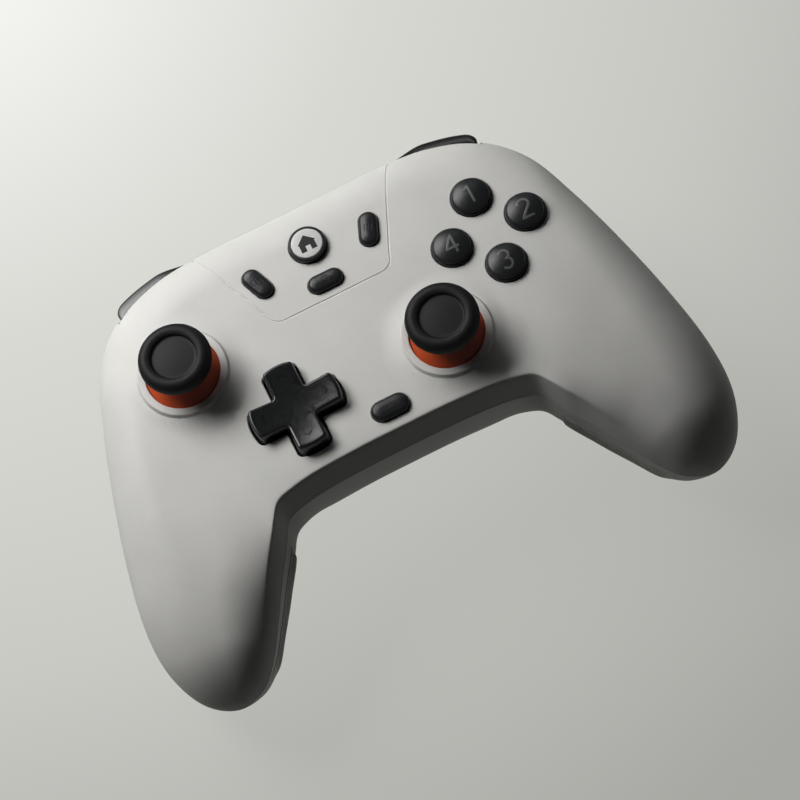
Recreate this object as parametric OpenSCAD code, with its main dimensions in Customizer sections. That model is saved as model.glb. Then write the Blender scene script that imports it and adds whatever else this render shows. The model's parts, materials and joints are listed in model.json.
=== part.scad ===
/* [Body] */
// Width over the grips
body_w = 157.2; // [152:0.2:160]
// Top edge of the case, from the middle of the pad
top_y = 51.9; // [51:0.1:53]
// Grip tips, from the middle of the pad
tip_y = -55.5; // [-57:0.1:-54]
// Shoulders of the case, sideways from the middle
shoulder_x = 60.7; // [60:0.1:63]
// Seam of the inner edge between the grips
notch_y = -19.5; // [-20.5:0.1:-19]
// Height of the face above the table
face_z = 40; // [39:0.5:43]
// Wall of both shells
wall = 2; // [1.6:0.1:2.4]
// Parting gap between the two shells
seam_gap = 0.3; // [0.2:0.05:0.5]
// Run of the steep chamfer along the inner edge
chamfer_run = 2.4; // [1.8:0.1:3]
// Roll of the face down to the top edge
edge_roll = 12; // [9:0.5:14]
// Roll of the face down to the sides
side_roll = 18; // [14:0.5:20]
// Swell of the rear shell on the inner side of the grips
grip_swell = 3.1; // [2:0.1:3.4]
// Rounding of a grip's tip, along the grip
tip_roll = 14; // [10:0.5:18]
// Thickness of the ribbed grip panels
panel_t = 0.8; // [0.5:0.1:1.2]

/* [Sticks] */
// Left stick and face cluster, in from the widest side of the grips
upper_in = 36.6; // [35:0.1:38]
// Left stick, down from the top edge
upper_drop = 30.6; // [29:0.1:32]
// Direction pad and right stick, sideways from the middle
lower_x = 20.7; // [20:0.1:22]
// Direction pad and right stick, up from the middle
lower_y = -0.8; // [-2.2:0.1:0.6]
// Inner diameter of the raised stick collars
collar_d = 19.2; // [18.5:0.1:20.5]
// Width of a collar's flat lip
collar_lip = 1.85; // [1.3:0.05:2.2]
// Rise of a collar above the face
collar_h = 1.8; // [1:0.1:2.5]
// Diameter of a stick cap
cap_d = 18.3; // [16:0.1:19.2]
// Thickness of a stick cap at its rim
cap_t = 5.2; // [4:0.1:6]
// Top of a stick cap above the face
cap_rise = 12.8; // [12:0.1:14]
// Tilt of a stick each way
stick_tilt = 16; // [10:1:18]
// Click travel of a stick
stick_click = 0.5; // [0.3:0.1:0.8]

/* [Direction pad] */
// Across the direction pad
dpad_d = 24; // [20:0.2:25]
// Width of a direction pad arm
dpad_arm = 8.4; // [7:0.1:9]
// Top of the direction pad above the face
dpad_rise = 3.6; // [2:0.1:4.5]
// Rock of the direction pad each way
dpad_rock = 4; // [3:0.5:4]

/* [Buttons] */
// Face cluster, down from the top edge
cluster_drop = 32.2; // [31:0.1:33.5]
// From the middle of the face cluster to a button
cluster_r = 10.2; // [9.8:0.1:11]
// Diameter of a face button
face_d = 10.4; // [9:0.1:11]
// Top of a face button above the face
face_rise = 2.6; // [2.2:0.1:3.4]
// Travel of a face button
face_travel = 1.4; // [1:0.1:1.6]
// Home button, down from the top edge
home_drop = 13.8; // [13.2:0.1:14.8]
// Diameter of the home button
home_d = 9.7; // [9.4:0.1:10.6]
// Diameter of the disc in the home button
inlay_d = 8.1; // [6:0.1:8.1]
// Length of a pill button
pill_l = 9.3; // [8:0.1:10.2]
// Width of a pill button
pill_w = 4.8; // [4.4:0.1:5.6]
// Menu pills, sideways from the middle
menu_x = 15.5; // [15:0.1:17]
// Menu pills, down from the top edge
menu_drop = 17.3; // [16.6:0.1:18.4]
// Splay of the menu pills
menu_splay = 21; // [0:1:30]
// Capture pill, down from the top edge
capture_drop = 24.9; // [24.4:0.1:26]
// Mode pill, up from the middle
mode_y = -11.5; // [-12.2:0.1:-10]
// Extra size of the mode pill, all round
mode_grow = 0.3; // [0:0.1:0.5]
// Top of the home button and pills above the face
pill_rise = 1.6; // [1:0.1:2.2]
// Travel of the home button and pills
pill_travel = 0.7; // [0.4:0.1:1]

/* [Bumpers and triggers] */
// Inner side of a trigger bay, from the middle
bay_in = 25.6; // [25:0.1:27]
// Outer side of a trigger bay, from the middle
bay_out = 51.5; // [50.5:0.1:53]
// Depth of a trigger bay behind the top edge
bay_depth = 13.9; // [13:0.1:14.2]
// Roof of a trigger bay below the face
bay_drop = 4.7; // [4:0.1:6]
// How far a bumper stands out of the case
bumper_proud = 2.8; // [2:0.1:3.2]
// Height of a bumper
bumper_h = 8; // [6:0.1:9]
// Swing of a bumper
bumper_swing = 3; // [1:0.5:3.5]
// Height of a trigger's finger face
trigger_h = 21; // [18:0.5:22]
// Thickness of a trigger's finger face
trigger_t = 3.4; // [2.5:0.1:4]
// Pull of a trigger
trigger_pull = 18; // [10:1:18]
// Diameter of a trigger pin
pin_d = 2.4; // [2:0.1:3]

/* [Inside] */
// Main board's top below the face
board_drop = 13; // [12.5:0.1:13.5]
// Thickness of the main board
board_t = 1.6; // [1:0.1:2]
// Stick pivot above the board
pivot_h = 5.5; // [5.2:0.1:6]
// Side of a stick housing
housing_w = 14; // [13:0.1:14.5]
// Wall of a stick housing
housing_t = 0.8; // [0.6:0.1:1]
// Diameter of a stick post
post_d = 2.4; // [2:0.1:2.6]
// Length of the battery
battery_w = 42; // [36:1:43]
// Width of the battery
battery_l = 32; // [26:1:34]
// Thickness of the battery
battery_t = 9; // [6:0.5:12]
// Diameter of a rumble motor
motor_d = 16; // [12:0.5:17]
// Length of a rumble motor
motor_l = 18; // [14:0.5:19]
// Diameter of a screw shank
screw_d = 2.6; // [2:0.1:3]

/* [Fits] */
// Running gap round moving pieces
gap = 0.3; // [0.25:0.05:0.4]
// Radial gap of pins and posts in their bores
pin_gap = 0.06; // [0.03:0.01:0.1]
// Gap round the ball of a stick skirt
ball_gap = 0.4; // [0.35:0.05:0.5]
// Gap round the direction pad, which rocks in its hole
rock_gap = 0.7; // [0.6:0.05:0.9]

/* [Hidden] */
$fn = 48;

// Colours, as the photo shows them
case_white = [0.90, 0.90, 0.88];
soft_black = [0.10, 0.10, 0.11];
gloss_black = [0.05, 0.05, 0.06];
skirt_orange = [0.80, 0.27, 0.10];
inlay_white = [0.88, 0.88, 0.86];
board_green = [0.10, 0.30, 0.20];
steel = [0.70, 0.71, 0.73];
grey_plastic = [0.35, 0.36, 0.38];
silicone_grey = [0.55, 0.56, 0.58];
battery_blue = [0.20, 0.28, 0.42];

// Case outline: ribs run from the inner edge to the outer edge, middle to grip tip
half_w = body_w / 2;
tip = [half_w - 12.6, tip_y];
outer_line = [
    [0, top_y], [12, top_y + 0.1], [25, top_y + 0.1], [shoulder_x - 22.2, top_y - 0.8],
    [shoulder_x - 9.7, top_y - 4.9], [shoulder_x, top_y - 14.2], [half_w - 11.9, top_y - 28.3],
    [half_w - 6.9, 7.3], [half_w - 2.7, -10], [half_w, tip_y + 28.9], [half_w - 0.4, tip_y + 15.7],
    [half_w - 5, tip_y + 5.3], tip
];
inner_line = [
    [0, notch_y], [12, notch_y - 0.1], [23, notch_y - 0.6], [30, notch_y - 1.7], [34.3, notch_y - 3.2],
    [36.7, notch_y - 6.7], [38.8, notch_y - 10.1], [41.5, notch_y - 13.8], [44.7, tip_y + 17.5],
    [48.3, tip_y + 12.4], [52.4, tip_y + 6.9], [58, tip_y + 1.5], tip
];
ribs = len(outer_line) - 1;

// Depths below the face along the ribs: inner seam, outer seam and crown of the grips
seam_in_drop = [8, 8, 8, 8, 8.2, 8.7, 9.6, 11, 13, 15.6, 18.7, 21.7, 24];
seam_out_drop = [7, 7, 7, 8, 9.5, 11.5, 14, 16.2, 18.2, 20, 21.8, 23.3, 24];
crown_drop = [0, 0, 0, 0, 0, 0.1, 0.5, 1.4, 2.8, 5, 8, 11.5, 15];
// Underside above the table along the ribs; below zero it is cut flat to stand on
base_line = [0, 0, 0, 5, 11, 13, 11, 7, 2.5, -0.4, -0.4, 5, 12];

// Where the chamfer starts to fade into the grips and where it is gone, in ribs
fade_from = 5;
fade_to = 9.5;
// Where the swell of the rear shell grows and where it fades, in ribs
swell_grows = [2.2, 4.4];
swell_fades = [4, 11];
// Share of the edge height that the chamfer climbs
chamfer_climb = 0.965;
inner_roll = 12;
grip_roll = 14;
rear_inner_roll = 26;
rear_grip_roll = 18;
rear_outer_roll = 14;
rear_side_roll = 18;
// How square the rear wall turns into the back
rear_power = 2.4;
// How much sooner the inside of the wall closes at a tip, in wall thicknesses
tip_inset = 1.2;
rows = 22;
cols = 13;
row_crowding = 1.6;

// Places of the controls and the bays
upper_x = half_w - upper_in;
upper_y = top_y - upper_drop;
cluster_y = top_y - cluster_drop;
home_y = top_y - home_drop;
menu_y = top_y - menu_drop;
capture_y = top_y - capture_drop;
bay_y = top_y - bay_depth;
bay_w = bay_out - bay_in;
board_top = face_z - board_drop;
pivot_z = board_top + pivot_h;
inside_z = face_z - wall;
bay_roof = face_z - bay_drop;
bay_wall = 1.6;
bay_top = [bay_in + gap * 3, bay_out - gap * 2];

function lerp(a, b, f) = a + (b - a) * f;
function span(centre, from, to) = [centre + min(from, to), centre + max(from, to)];
function unit(x) = min(max(x, 0), 1);
function ease(x, from, to) = let (f = unit((x - from) / (to - from))) f * f * (3 - 2 * f);
// Height of a quarter round, from 0 at its foot to 1 at its crown
function quarter(x, power) = pow(max(0, 1 - pow(1 - unit(x), power)), 1 / power);
function cubic(a, b, c, d, f) =
    let (first = c - a, second = 2 * a - 5 * b + 4 * c - d, third = 3 * b - a - 3 * c + d)
    b + 0.5 * f * (first + f * (second + f * third));
// Smooth curve through a list, with the values that lie before and after it
function along(list, before, after, u) =
    let (
        n = len(list) - 1,
        x = unit(u) * n,
        i = min(floor(x), n - 1),
        a = i == 0 ? before : list[i - 1],
        d = i == n - 1 ? after : list[i + 2]
    )
    cubic(a, list[i], list[i + 1], d, x - i);
function flip_x(p) = [-p.x, p.y];
function rib_in(u) = along(inner_line, flip_x(inner_line[1]), outer_line[ribs - 1], u);
function rib_out(u) = along(outer_line, flip_x(outer_line[1]), inner_line[ribs - 1], u);
function rib_w(u) = norm(rib_out(u) - rib_in(u));
function rib_dir(u) = rib_w(u) < 0.001 ? [1, 0] : (rib_out(u) - rib_in(u)) / rib_w(u);
function level(list, u) = along(list, list[1], 2 * list[ribs] - list[ribs - 1], u);
function seam_z(u, v) = face_z - lerp(level(seam_in_drop, u), level(seam_out_drop, u), v);
function side(u, p, z) = [u < 0 ? -p.x : p.x, p.y, z];
// Rounding towards the grip tip, from 0 at the tip to 1 further up the grip
function tip_share(u, inset) =
    let (far = norm(tip - (rib_in(u) + rib_out(u)) / 2))
    quarter((far - tip_inset * inset) / tip_roll, 2);
function swell_share(k) =
    ease(k, swell_grows[0], swell_grows[1]) * (1 - ease(k, swell_fades[0], swell_fades[1]));
function rear_inner(k, w) = min(lerp(rear_inner_roll, rear_grip_roll, ease(k, 3, 7)), 0.5 * w + 0.01);

// A point of the front surface, inset into the wall; u along the case, v from inner to outer edge
function front_point(u, v, inset) =
    let (
        s = abs(u),
        k = s * ribs,
        w = max(rib_w(s) - 2 * inset, 0),
        p = rib_in(s) + rib_dir(s) * (inset + v * w),
        from_in = v * w,
        from_out = (1 - v) * w,
        seam = seam_z(s, v) + seam_gap / 2,
        crown = face_z - level(crown_drop, s) - inset,
        roll = min(lerp(edge_roll, side_roll, ease(k, 2, 5)), 0.62 * w + 0.01),
        grip = min(grip_roll, 0.38 * w + 0.01),
        chamfer = chamfer_climb * unit(from_in / chamfer_run)
            + (1 - chamfer_climb) * quarter((from_in - chamfer_run) / inner_roll, 2),
        rise_in = lerp(chamfer, quarter(from_in / grip, 2), ease(k, fade_from, fade_to)),
        rise = rise_in * quarter(from_out / roll, 2) * tip_share(s, inset)
    )
    side(u, p, seam + (crown - seam) * rise);

// A point of the rear surface, inset into the wall
function rear_point(u, v, inset) =
    let (
        s = abs(u),
        k = s * ribs,
        w = max(rib_w(s) - 2 * inset, 0),
        from_in = v * w,
        from_out = (1 - v) * w,
        seam = seam_z(s, v) - seam_gap / 2,
        floor_z = level(base_line, s) + inset,
        outer = min(lerp(rear_outer_roll, rear_side_roll, ease(k, 2, 5)), 0.5 * w + 0.01),
        drop_in = quarter(from_in / rear_inner(k, w), rear_power),
        drop = drop_in * quarter(from_out / outer, 2.2) * tip_share(s, inset),
        swell = grip_swell * swell_share(k) * 2 * drop_in * sqrt(1 - drop_in * drop_in),
        p = rib_in(s) + rib_dir(s) * (inset + v * w - swell)
    )
    side(u, p, max(seam - (seam - floor_z) * drop, inset));

// A point of the parting surface, shifted up or down
function seam_point(u, v, inset, shift) =
    let (s = abs(u), w = max(rib_w(s) - 2 * inset, 0))
    side(u, rib_in(s) + rib_dir(s) * (inset + v * w), seam_z(s, v) + shift);

// The last rib that is still wide enough for two walls
function reach(inset) = inset == 0 ? 1 : max([for (u = [0.8:0.004:1]) if (rib_w(u) > 2 * inset + 1) u]);
function row_at(i, far) = sign(i) * far * (1 - pow(1 - abs(i) / rows, row_crowding));
function column_at(u, j, inset) =
    let (crease = min(chamfer_run / max(rib_w(abs(u)) - 2 * inset, 0.01), 0.3))
    j == 0 ? 0 : lerp(crease, 1, 0.5 - 0.5 * cos(180 * (j - 1) / (cols - 1)));
function case_grid(inset, point) =
    let (far = reach(inset))
    [for (i = [-rows:rows])
        let (u = row_at(i, far))
        [for (j = [0:cols]) point(u, column_at(u, j, inset))]];

// A closed solid between two grids of points; a row that shrinks to a point is a pole
module slab(upper, lower) {
    n = len(upper) - 1;
    m = len(upper[0]) - 1;
    count = (n + 1) * (m + 1);
    poles = [for (g = [upper, lower])
        [for (r = g) norm(r[m] - r[0]) + norm(r[floor(m / 2)] - r[0]) < 0.001]];
    function id(g, i, j) = g * count + i * (m + 1) + (poles[g][i] ? 0 : j);
    quads = concat(
        [for (i = [0:n - 1]) for (j = [0:m - 1])
            [id(0, i, j), id(0, i, j + 1), id(0, i + 1, j + 1), id(0, i + 1, j)]],
        [for (i = [0:n - 1]) for (j = [0:m - 1])
            [id(1, i, j), id(1, i + 1, j), id(1, i + 1, j + 1), id(1, i, j + 1)]],
        [for (i = [0:n - 1]) [id(0, i, 0), id(0, i + 1, 0), id(1, i + 1, 0), id(1, i, 0)]],
        [for (i = [0:n - 1]) [id(0, i + 1, m), id(0, i, m), id(1, i, m), id(1, i + 1, m)]],
        [for (j = [0:m - 1]) [id(0, 0, j + 1), id(0, 0, j), id(1, 0, j), id(1, 0, j + 1)]],
        [for (j = [0:m - 1]) [id(0, n, j), id(0, n, j + 1), id(1, n, j + 1), id(1, n, j)]]
    );
    halves = [for (q = quads) for (t = [[q[0], q[1], q[2]], [q[0], q[2], q[3]]]) t];
    faces = [for (t = halves) if (t[0] != t[1] && t[1] != t[2] && t[2] != t[0]) t];
    points = [for (g = [upper, lower]) for (r = g) for (p = r) p];
    polyhedron(points, faces);
}

module both_sides() {
    children();
    mirror([1, 0, 0]) children();
}

module block(x, y, z) translate([x[0], y[0], z[0]]) cube([x[1] - x[0], y[1] - y[0], z[1] - z[0]]);
module rod(r, z) translate([0, 0, z[0]]) cylinder(r = r, h = z[1] - z[0]);
module rod_x(r, x) translate([x[0], 0, 0]) rotate([0, 90, 0]) cylinder(r = r, h = x[1] - x[0]);
module rod_y(r, y) translate([0, y[0], 0]) rotate([-90, 0, 0]) cylinder(r = r, h = y[1] - y[0]);
module turned(profile) rotate_extrude() polygon(profile);

// Case shells
screw_spots = [[18.6, top_y - 7.3], [half_w - 15.1, tip_y + 11]];
boss_r = screw_d / 2 + 1.9;
screw_head_r = screw_d;
screw_head_z = [14, 6];
screw_end = [face_z - 5, face_z - 15];
post_in = upper_x - 15;
post_up = upper_y + 6.7;
post_spots = [[0, 12], [0, 0], [post_in, post_up], [-post_in, post_up]];
post_r = 2;
usb_size = [9, 3.2];
usb_z = board_top + usb_size.y / 2;
usb_slot = usb_size + [0.6, 0.6];

module front_block() {
    slab(
        case_grid(0, function (u, v) front_point(u, v, 0)),
        case_grid(wall / 2, function (u, v) seam_point(u, v, wall / 2, seam_gap / 2))
    );
}

module rear_block() {
    slab(
        case_grid(wall / 2, function (u, v) seam_point(u, v, wall / 2, -seam_gap / 2)),
        case_grid(0, function (u, v) rear_point(u, v, 0))
    );
}

module bay(grow) {
    block([bay_in - grow, bay_out + grow], [bay_y - grow, top_y + 20], [-10, bay_roof + grow]);
}

module screw_columns() {
    both_sides() for (s = screw_spots) translate(s) rod(boss_r, [0, face_z]);
}

module screw_holes() {
    both_sides() for (i = [0:1]) translate(screw_spots[i]) {
        rod(screw_d / 2 + pin_gap, [-1, screw_end[i] + 1]);
        rod(screw_head_r + gap, [-1, screw_head_z[i]]);
    }
}

module motor_axis() translate([motor_x, motor_y, motor_z]) children();
motor_x = half_w - 18.6;
motor_y = tip_y + 25.5;
motor_z = 19;
cradle_t = 2;
cradle_spots = [3, motor_l - 5];

module motor_cradles() {
    half = motor_d * 0.6;
    difference() {
        both_sides() for (y = cradle_spots)
            block([motor_x - half, motor_x + half], [motor_y + y, motor_y + y + cradle_t], [0, motor_z]);
        both_sides() motor_axis() rod_y(motor_d / 2 + pin_gap, [-1, motor_l + 1]);
    }
}

battery_y = 20;
battery_z = wall + 0.6;
battery_lip = 4;

module battery_tray() {
    tray = [battery_w / 2 + gap, battery_l / 2 + gap];
    translate([0, battery_y, 0]) {
        for (a = [-1, 1]) {
            block([-tray.x, tray.x], span(a * tray.y, 0, a * wall), [0, battery_z + battery_lip]);
            block([-tray.x / 2, tray.x / 2], span(a * tray.y / 2, -1, 1), [0, battery_z]);
        }
    }
}

module collar_ring(spread) {
    r = collar_d / 2;
    turned([
        [r - 0.4, inside_z - 0.5], [r + spread, inside_z], [r + spread - 1.6, face_z - spread / 7],
        [r + collar_lip + 2.6, face_z - 0.2],
        [r + collar_lip + 1.2, face_z + collar_h * 0.22], [r + collar_lip + 0.35, face_z + collar_h * 0.62],
        [r + collar_lip, face_z + collar_h - 0.35], [r + collar_lip - 0.35, face_z + collar_h],
        [r, face_z + collar_h], [r - 0.4, face_z]
    ]);
}

// The left collar runs further out, down the shoulder of the case
left_spread = 7.8;
right_spread = 4.6;

// The opening follows the ball of the skirt, narrowest at the collar's lip
lip_t = 0.4;
ball_r = norm([collar_d / 2 - ball_gap, face_z + collar_h - lip_t - pivot_z]);
module stick_opening() {
    low = inside_z - 2;
    turned([
        [0, low], [ball_r + ball_gap, low], [norm_at(ball_r + ball_gap * 1.5, inside_z), inside_z],
        [norm_at(ball_r + ball_gap * 1.5, face_z), face_z], [collar_d / 2, face_z + collar_h - lip_t],
        [collar_d / 2, face_z + collar_h + 5], [0, face_z + collar_h + 5]
    ]);
}
function norm_at(r, z) = sqrt(max(r * r - (z - pivot_z) * (z - pivot_z), 0));

module at_left_stick() translate([-upper_x, upper_y, 0]) children();
module at_right_stick() translate([lower_x, lower_y, 0]) children();
module at_dpad() translate([-lower_x, lower_y, 0]) children();
module at_cluster() translate([upper_x, cluster_y, 0]) children();
module at_face_buttons() at_cluster() for (a = [0:90:270]) rotate(a) translate([cluster_r, 0]) children();

module pill_outline(grow) {
    r = pill_w / 2 + grow;
    run = (pill_l - pill_w) / 2;
    square([2 * run, 2 * r], center = true);
    for (a = [-1, 1]) translate([a * run, 0]) circle(r);
}
module at_view() translate([-menu_x, menu_y, 0]) rotate(90 + menu_splay) children();
module at_menu() translate([menu_x, menu_y, 0]) rotate(90 - menu_splay) children();
module at_capture() translate([0, capture_y, 0]) children();
module at_mode() translate([0, mode_y, 0]) children();

module cross_outline(grow) {
    intersection() {
        union() {
            square([dpad_d + 2 * grow + 2, dpad_arm + 2 * grow], center = true);
            square([dpad_arm + 2 * grow, dpad_d + 2 * grow + 2], center = true);
        }
        circle(dpad_d / 2 + grow);
    }
}

module through_face() translate([0, 0, inside_z - 2]) linear_extrude(wall + 6) children();

module face_openings() {
    at_left_stick() stick_opening();
    at_right_stick() stick_opening();
    at_dpad() through_face() cross_outline(rock_gap);
    at_face_buttons() through_face() circle(face_d / 2 + gap);
    translate([0, home_y]) through_face() circle(home_d / 2 + gap);
    at_view() through_face() pill_outline(gap);
    at_menu() through_face() pill_outline(gap);
    at_capture() through_face() pill_outline(gap);
    at_mode() through_face() pill_outline(mode_grow + gap);
}

// Short sleeves under the face that guide the buttons, and room for the flanges below them
module button_guides() {
    at_face_buttons() guide() circle(face_d / 2 + gap + guide_t);
    translate([0, home_y]) guide() circle(home_d / 2 + gap + guide_t);
    at_view() guide() pill_outline(gap + guide_t);
    at_menu() guide() pill_outline(gap + guide_t);
    at_capture() guide() pill_outline(gap + guide_t);
    at_mode() guide() pill_outline(mode_grow + gap + guide_t);
}
module guide() translate([0, 0, guide_foot]) linear_extrude(inside_z - guide_foot) children();
module under_face() {
    translate([0, 0, button_foot - 2]) linear_extrude(guide_foot - button_foot + 2) children();
}
module flange_room() {
    room = flange + gap;
    at_face_buttons() under_face() circle(face_d / 2 + room);
    translate([0, home_y]) under_face() circle(home_d / 2 + room);
    at_view() under_face() pill_outline(room);
    at_menu() under_face() pill_outline(room);
    at_capture() under_face() pill_outline(room);
    at_mode() under_face() pill_outline(mode_grow + room);
}

module front_shell() {
    color(case_white) resize([0, 0, 0]) difference() {
        union() {
            slab(
                case_grid(0, function (u, v) front_point(u, v, 0)),
                case_grid(wall, function (u, v) front_point(u, v, wall))
            );
            intersection() {
                front_block();
                union() {
                    both_sides() bay(bay_wall);
                    screw_columns();
                }
            }
            at_left_stick() collar_ring(left_spread);
            at_right_stick() collar_ring(right_spread);
            button_guides();
            for (s = post_spots) translate(s) rod(post_r, [board_top, inside_z + wall / 2]);
        }
        both_sides() bay(0);
        face_openings();
        flange_room();
        screw_holes();
    }
}

module usb_opening() {
    translate([0, top_y - 6, usb_z]) rotate([-90, 0, 0]) linear_extrude(12) usb_outline(usb_slot);
}

module usb_outline(size) {
    square([size.x - size.y, size.y], center = true);
    for (a = [-1, 1]) translate([a * (size.x - size.y) / 2, 0]) circle(size.y / 2);
}

module rear_shell() {
    color(case_white) resize([0, 0, 0]) difference() {
        union() {
            slab(
                case_grid(wall, function (u, v) rear_point(u, v, wall)),
                case_grid(0, function (u, v) rear_point(u, v, 0))
            );
            intersection() {
                rear_block();
                union() {
                    both_sides() bay(bay_wall);
                    screw_columns();
                    motor_cradles();
                    battery_tray();
                }
            }
        }
        both_sides() bay(0);
        usb_opening();
        screw_holes();
    }
}

// Ribbed panels on the inner side of the grips
panel_seat = 0.2;
panel_from = 5.2;
panel_to = 10.6;
panel_rows = 18;
panel_cols = 7;
// Upper and lower edge of a panel, as shares of the way from the seam down to the back
panel_drop = [0.2, 0.88];
function panel_v(u, share) =
    let (w = rib_w(u), x = 1 - pow(1 - pow(share, rear_power), 1 / rear_power))
    x * rear_inner(u * ribs, w) / w;
function rear_normal(u, v) =
    let (
        e = 0.002,
        du = rear_point(u + e, v, 0) - rear_point(u - e, v, 0),
        dv = rear_point(u, v + e, 0) - rear_point(u, v - e, 0),
        n = cross(dv, du)
    )
    n / norm(n);
function panel_point(i, j, out) =
    let (
        slant = 0.5 * j / panel_cols,
        u = lerp(panel_from + slant, panel_to, i / panel_rows) / ribs,
        v = panel_v(u, lerp(panel_drop[0], panel_drop[1], j / panel_cols)),
        p = rear_point(u, v, 0) + rear_normal(u, v) * out
    )
    [p.x, p.y, max(p.z, panel_t)];
function panel_grid(out) =
    [for (i = [0:panel_rows]) [for (j = [0:panel_cols]) panel_point(i, j, out)]];

module right_grip_panel() color(case_white) slab(panel_grid(panel_seat), panel_grid(panel_t));
module left_grip_panel() mirror([1, 0, 0]) right_grip_panel();

// Sticks, on the pivot of their housing
cap_top = face_z + cap_rise - pivot_z;
cap_foot = cap_top - cap_t;
skirt_t = 1.2;
skirt_rim = 66;
skirt_top = 22;
skirt_steps = 8;
neck_r = 6.6;
hub_r = 3.2;
hub_foot = 7.2;
post_top = cap_foot - 2;
axle_r = 1.25;
arch_r = [4.6, 5.8];
arch_w = 4.6;
arch_slot = [3.4, 1];
housing_h = pivot_h + 3.7;

module stick_cap() {
    r = cap_d / 2;
    color(soft_black) translate([0, 0, pivot_z]) turned([
        [0, cap_foot], [r - 2.2, cap_foot], [r - 0.9, cap_foot + 0.5], [r - 0.2, cap_foot + 1.6],
        [r, cap_foot + 2.8], [r - 0.15, cap_top - 1.4], [r - 0.7, cap_top - 0.5], [r - 1.6, cap_top - 0.1],
        [r - 2.6, cap_top], [r - 3.5, cap_top - 0.25], [r - 4.2, cap_top - 0.9], [r - 4.8, cap_top - 1.3],
        [r - 6.5, cap_top - 1.1], [0, cap_top - 0.8]
    ]);
}

module stick_skirt() {
    inner = ball_r - skirt_t;
    rise = 90 - skirt_top;
    sweep = [for (i = [0:skirt_steps]) lerp(90 - skirt_rim, rise, i / skirt_steps)];
    color(skirt_orange) translate([0, 0, pivot_z]) difference() {
        turned(concat(
            [for (a = sweep) ball_r * [cos(a), sin(a)]],
            [[neck_r - 1, cap_foot - 1.4], [neck_r - 0.4, cap_foot - 0.6], [neck_r, cap_foot], [0, cap_foot]],
            [[0, hub_foot], [hub_r, hub_foot], [hub_r, inner * sin(rise) - 1.4]],
            [for (i = [skirt_steps - 1:-1:0]) inner * [cos(sweep[i]), sin(sweep[i])]]
        ));
        rod(post_d / 2 + pin_gap, [hub_foot - 1, post_top + stick_click + gap]);
    }
}

module stick_post() {
    color(steel) translate([0, 0, pivot_z]) {
        rod(post_d / 2, [-2.6, post_top]);
        rod_y(post_pin_r, [-yoke_size.y / 2, yoke_size.y / 2]);
    }
}
post_pin_r = 0.8;
yoke_size = [7, 5, 4.4];

module stick_yoke() {
    reach_x = housing_w / 2 - 0.1;
    slot = 2 * (yoke_size.z * tan(stick_tilt) + post_d / 2 / cos(stick_tilt)) + 2 * gap;
    color(silicone_grey) translate([0, 0, pivot_z]) difference() {
        union() {
            cube(yoke_size, center = true);
            rod_x(axle_r, [-reach_x, reach_x]);
        }
        cube([slot, post_d + 2 * gap, 2 * yoke_size.z], center = true);
        rod_y(post_pin_r + pin_gap, [-yoke_size.y, yoke_size.y]);
    }
}

module stick_arch() {
    reach_y = housing_w / 2 - 0.1;
    color(silicone_grey) translate([0, 0, pivot_z]) difference() {
        union() {
            intersection() {
                rotate([0, 90, 0]) difference() {
                    cylinder(r = arch_r[1], h = arch_w, center = true);
                    cylinder(r = arch_r[0], h = 2 * arch_w, center = true);
                }
                block([-arch_w, arch_w], [-arch_r[1], arch_r[1]], [-axle_r, arch_r[1]]);
            }
            for (a = [0, 180]) rotate(a) rod_y(axle_r, [arch_r[0] + 0.3, reach_y]);
        }
        block([-1, 1] * (post_d / 2 + gap), [-1, 1] * arch_slot[0], [arch_slot[1], arch_r[1] + 1]);
    }
}

module stick_housing() {
    w = housing_w;
    color(steel) translate([0, 0, board_top]) difference() {
        block([-w / 2, w / 2], [-w / 2, w / 2], [0, housing_h]);
        block([-1, 1] * (w / 2 - housing_t), [-1, 1] * (w / 2 - housing_t), [housing_t, housing_h + 1]);
        translate([0, 0, pivot_h]) {
            rod_x(axle_r + pin_gap, [-w, w]);
            rod_y(axle_r + pin_gap, [-w, w]);
        }
    }
}

module left_stick_cap() at_left_stick() stick_cap();
module left_stick_skirt() at_left_stick() stick_skirt();
module left_stick_post() at_left_stick() stick_post();
module left_stick_yoke() at_left_stick() stick_yoke();
module left_stick_arch() at_left_stick() stick_arch();
module left_stick_housing() at_left_stick() stick_housing();
module right_stick_cap() at_right_stick() stick_cap();
module right_stick_skirt() at_right_stick() stick_skirt();
module right_stick_post() at_right_stick() stick_post();
module right_stick_yoke() at_right_stick() stick_yoke();
module right_stick_arch() at_right_stick() stick_arch();
module right_stick_housing() at_right_stick() stick_housing();

// Direction pad, rocking on a gimbal ring above its base
rock_z = face_z - 4.7;
dpad_foot = face_z - 4.6;
dpad_flange = 1.2;
dpad_flange_t = 1.2;
dpad_hollow_r = 7.4;
dpad_roof = face_z - 1.8;
stem_r = 2;
rocker_r = [2.6, 4.4];
rocker_t = 1.8;
trunnion_r = 0.8;
rocker_post = [5, 6.6];
contact_r = 2.4;
contact_at = 9.4;

module dpad() {
    top = face_z + dpad_rise;
    dish = 60;
    color(gloss_black) at_dpad() {
        difference() {
            union() {
                translate([0, 0, dpad_foot]) linear_extrude(dpad_flange_t) cross_outline(dpad_flange);
                translate([0, 0, dpad_foot]) linear_extrude(top - dpad_foot) cross_outline(0);
            }
            rod(dpad_hollow_r, [dpad_foot - 1, dpad_roof]);
            translate([0, 0, top + dish - 1]) sphere(dish);
        }
        rod(stem_r, [rock_z - trunnion_r, dpad_roof]);
        translate([0, 0, rock_z]) rod_y(trunnion_r, [-rocker_r[1] + 0.2, rocker_r[1] - 0.2]);
    }
}

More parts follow.
